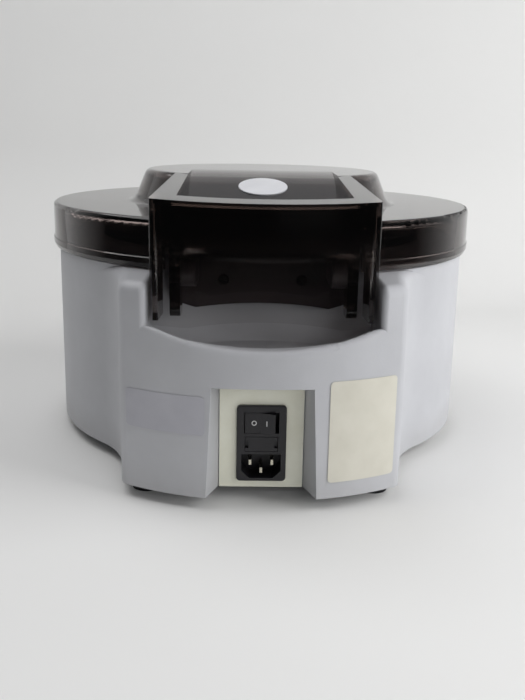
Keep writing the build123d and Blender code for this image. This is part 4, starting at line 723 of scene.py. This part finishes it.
# rubber foot: a tapered post with moulded grooves, one under each point
def rubberFootTree():
    tree, given = startTree("groovedFeet", rubberFoot)
    down = addNode(tree, "ShaderNodeMath", {0: given["Height"], 1: -1.0}, operation="MULTIPLY")
    end = addNode(tree, "ShaderNodeCombineXYZ", {"Z": down.outputs["Value"]})
    line = addNode(tree, "GeometryNodeCurvePrimitiveLine", {"End": end.outputs["Vector"]})
    steps = addNode(tree, "GeometryNodeResampleCurve", {"Curve": line.outputs["Curve"], "Count": 33})
    along = addNode(tree, "GeometryNodeSplineParameter").outputs["Factor"]
    narrowing = {"Value": along, "To Min": given["Top Radius"], "To Max": given["Toe Radius"]}
    taper = addNode(tree, "ShaderNodeMapRange", narrowing).outputs["Result"]
    phase = addNode(tree, "ShaderNodeMath", {0: along, 1: given["Grooves"]}, operation="MULTIPLY")
    circling = {0: phase.outputs["Value"], 1: 2 * math.pi}
    turns = addNode(tree, "ShaderNodeMath", circling, operation="MULTIPLY")
    wave = addNode(tree, "ShaderNodeMath", {0: turns.outputs["Value"]}, operation="COSINE").outputs["Value"]
    sunk = {"Value": wave, "From Min": 1.0, "From Max": -1.0, "To Min": 0.0, "To Max": given["Groove"]}
    inward = addNode(tree, "ShaderNodeMapRange", sunk).outputs["Result"]
    radius = addNode(tree, "ShaderNodeMath", {0: taper, 1: inward}, operation="SUBTRACT").outputs["Value"]
    sized = {"Curve": steps.outputs["Curve"], "Radius": radius}
    shaped = addNode(tree, "GeometryNodeSetCurveRadius", sized)
    ring = addNode(tree, "GeometryNodeCurvePrimitiveCircle", {"Resolution": 48, "Radius": 1.0})
    swept = {
        "Curve": shaped.outputs["Curve"],
        "Profile Curve": ring.outputs["Curve"],
        "Scale": radius,
        "Fill Caps": True,
    }
    post = addNode(tree, "GeometryNodeCurveToMesh", swept).outputs["Mesh"]
    placed = addNode(tree, "GeometryNodeInstanceOnPoints", {"Points": given["Geometry"], "Instance": post})
    return endTree(tree, placed.outputs["Instances"], given["Material"])


# loose points, with a direction to face where one is given
def pointMesh(name, places, facing=None):
    mesh = bpy.data.meshes.new(name)
    mesh.from_pydata([point(*place) for place in places], [], [])
    if facing:
        stored = mesh.attributes.new("facing", "FLOAT_VECTOR", "POINT")
        for item in stored.data:
            item.vector = facing
    return mesh


def ringPlaces(radius, z, angles):
    turns = [math.radians(angle) for angle in angles]
    return [(radius * math.cos(turn), radius * math.sin(turn), z) for turn in turns]


# places in mm from the drum's axis, heights of the heads in metres
screwSets = {
    "panScrewHeads": {
        "body": "base",
        "replaces": (),
        "facing": (0, 0, -1),
        "places": ringPlaces(150, 5.75, (12, 168, 212, 328)),
        "height": 0.0022,
        "finish": "zincScrew",
    },
    "blockScrewHeads": {
        "body": "base",
        "replaces": ("block_screws",),
        "facing": (0, 1, 0),
        "places": [(x, 131, 132.25) for x in (-26, 26)],
        "height": 0.0022,
        "finish": "blackenedSteel",
    },
    "strikerScrewHeads": {
        "body": "lid_body",
        "replaces": (),
        "facing": (0, 0, -1),
        "places": [(x, -134, 165.3) for x in (-8, 8)],
        "height": 0.002,
        "finish": "zincScrew",
    },
}
footPlaces = [(-90, -98, 7.95), (90, -98, 7.95), (-74, 168, 7.95), (74, 168, 7.95)]


def addRepeated():
    heads = screwHeadTree()
    for name, s in screwSets.items():
        values = {"Head Height": s["height"], "Material": materials[s["finish"]]}
        mesh = growMesh(heads, pointMesh(name, s["places"], s["facing"]), values)
        finishPiece(name, mesh, s["finish"], s["body"], s["replaces"])
    feet = growMesh(rubberFootTree(), pointMesh("feet", footPlaces), {"Material": materials["blackRubber"]})
    finishPiece("groovedFeet", feet, "blackRubber", "base", ("feet",))


# flat shapes in a plane, given a small thickness; each outline is a loop of points or a pair of
# an outer and an inner loop, and across and up are unit directions
def flatPiece(name, outlines, origin, across, up, thickness, material, body):
    across, up = Vector(across), Vector(up)
    out = across.cross(up)
    start = point(*origin)
    form = bmesh.new()
    for shape in outlines:
        outer, inner = shape if isinstance(shape, tuple) else (shape, None)
        layers = []
        for lift in (0, thickness):
            rings = []
            for loop in (outer, inner) if inner else (outer,):
                spots = [start + (across * x + up * y + out * lift) * mm for x, y in loop]
                rings.append([form.verts.new(spot) for spot in spots])
            layers.append(rings)
        for low, high in zip(layers[0], layers[1]):
            for i in range(len(low)):
                j = (i + 1) % len(low)
                form.faces.new((low[i], low[j], high[j], high[i]))
        for layer in layers:
            if inner:
                for i in range(len(outer)):
                    j = (i + 1) % len(outer)
                    form.faces.new((layer[0][i], layer[0][j], layer[1][j], layer[1][i]))
            else:
                form.faces.new(layer[0])
    bmesh.ops.recalc_face_normals(form, faces=form.faces)
    mesh = bpy.data.meshes.new(name)
    form.to_mesh(mesh)
    form.free()
    finishPiece(name, mesh, material, body)


def ringShape(radius, width, steps=48):
    turns = [2 * math.pi * i / steps for i in range(steps)]
    radii = (radius, radius - width)
    return tuple([(r * math.cos(turn), r * math.sin(turn)) for turn in turns] for r in radii)


def roundedShape(width, height, radius, steps=6):
    points = []
    for cx, cy, start in ((1, 1, 0), (-1, 1, 90), (-1, -1, 180), (1, -1, 270)):
        for i in range(steps + 1):
            turn = math.radians(start + 90 * i / steps)
            x = cx * (width / 2 - radius) + radius * math.cos(turn)
            y = cy * (height / 2 - radius) + radius * math.sin(turn)
            points.append((x, y))
    return points


def frameShape(width, height, radius, line):
    inner = roundedShape(width - 2 * line, height - 2 * line, radius - line)
    return (roundedShape(width, height, radius), inner)


# in mm: Y from the drum's axis, negative towards the front, and Z from the floor
console = {
    "frontY": -172.0,
    "keyFront": -173.2,
    "keyZ": 66.0,
    "pitch": 22.0,
    "panelZ": 80.0,
    "panelLine": (112, 52, 4.5, 0.5),  # width, height, corner radius and line
    "displayZ": 94.0,
    "bezel": (54, 24, 3.2, 1.9),
    "digits": 4,
    "digitPitch": 10,
    "signRise": 0.03,
    "lineRise": 0.04,
    "bezelRise": 0.5,
    "segmentRise": 0.02,
}
# the three level and four upright bars of a digit: middle, width and height
digitBars = [(0, z, 4.6, 1.1) for z in (5.6, 0, -5.6)]
digitBars += [(x, z, 1.1, 4.2) for z in (2.8, -2.8) for x in (-3, 3)]
# the signs on the keys, from left to right, from each key's middle
keySigns = {
    "start_key": [[(-2.2, -3), (3.4, 0), (-2.2, 3)]],
    "stop_key": [[(-2.6, -2.6), (2.6, -2.6), (2.6, 2.6), (-2.6, 2.6)]],
    "down_key": [[(-3, 2), (0, -2.8), (3, 2)]],
    "up_key": [[(-3, -2), (3, -2), (0, 2.8)]],
    "lid_release_key": [
        [(-4, -2.8), (4, -2.8), (4, -2), (-4, -2)],
        [(-4, -0.6), (3.2, 3.2), (3.6, 2.5), (-3.6, -1.4)],
    ],
}


def addConsole():
    c = console
    across, up = (1, 0, 0), (0, 0, 1)
    for place, (key, outlines) in enumerate(keySigns.items()):
        origin = ((place - 2) * c["pitch"], c["keyFront"], c["keyZ"])
        paint = "markPaint" if place < 2 else "blackNylon"
        flatPiece(key + "Mark", outlines, origin, across, up, c["signRise"], paint, key + "_body")
    panel = (0, c["frontY"], c["panelZ"])
    display = (0, c["frontY"], c["displayZ"])
    line, bezel = ([frameShape(*c[name])] for name in ("panelLine", "bezel"))
    flatPiece("panelLine", line, panel, across, up, c["lineRise"], "markPaint", "base")
    flatPiece("displayBezel", bezel, display, across, up, c["bezelRise"], "blackNylon", "base")
    # the digits are unlit
    corners = ((-1, -1), (1, -1), (1, 1), (-1, 1))
    segments = []
    for digit in range(c["digits"]):
        x = (digit - (c["digits"] - 1) / 2) * c["digitPitch"]
        for barX, barZ, width, height in digitBars:
            segments.append([(x + barX + u * width / 2, barZ + v * height / 2) for u, v in corners])
    flatPiece("displaySegments", segments, display, across, up, c["segmentRise"], "segmentGrey", "base")


# the rocker's two faces slope to a shallow valley, and the whole is tipped at rest
rockerMarks = {
    "pivot": (0, 186, 51.65),
    "tip": -10,  # degrees
    "half": 9.6,
    "valley": 3.6,  # mm from the pivot to the valley
    "slope": 1.9,  # mm that a face climbs to its end
    "reach": 0.42,  # share of a face from the valley to its mark
    "ring": (1.6, 0.5),  # radius and line
    "bar": (0.28, 1.7),  # half its width and height
    "rise": 0.03,
}


def addRockerMarks():
    r = rockerMarks
    turn = Matrix.Rotation(math.radians(r["tip"]), 3, "Z")
    wide, tall = r["bar"]
    bar = [(-wide, -tall), (wide, -tall), (wide, tall), (-wide, tall)]
    for side, name, shape in ((1, "rockerO", [ringShape(*r["ring"])]), (-1, "rockerI", [bar])):
        spot = turn @ Vector((side * r["half"] * r["reach"], r["valley"] + r["slope"] * r["reach"], 0))
        along = turn @ Vector((r["half"], side * r["slope"], 0)).normalized()
        place = Vector(r["pivot"]) + spot
        flatPiece(name, shape, place, -along, (0, 0, 1), r["rise"], "markPaint", "rocker_body")


# place numbers on the flat ring round the knob
placeNumbers = {"count": 8, "radius": 20.3, "z": 114.03, "size": 5.4, "rise": 0.04}


def addRotorNumbers():
    n = placeNumbers
    for i in range(n["count"]):
        number = str(i + 1)
        data = bpy.data.curves.new("place" + number, "FONT")
        data.body = number
        data.size = n["size"] * mm
        data.align_x = "CENTER"
        data.align_y = "CENTER"
        data.extrude = n["rise"] * mm
        text = bpy.data.objects.new("place" + number, data)
        scene.collection.objects.link(text)
        mesh = bpy.data.meshes.new_from_object(text)
        turn = math.radians(360 / n["count"] * i)
        spot = point(n["radius"] * math.cos(turn), n["radius"] * math.sin(turn), n["z"])
        mesh.transform(Matrix.Translation(spot) @ Matrix.Rotation(turn - math.pi / 2, 4, "Z"))
        bpy.data.objects.remove(text)
        finishPiece("placeNumber" + number, mesh, "blackNylon", "rotor_body")


addHousing()
addRepeated()
addConsole()
addRockerMarks()
addRotorNumbers()
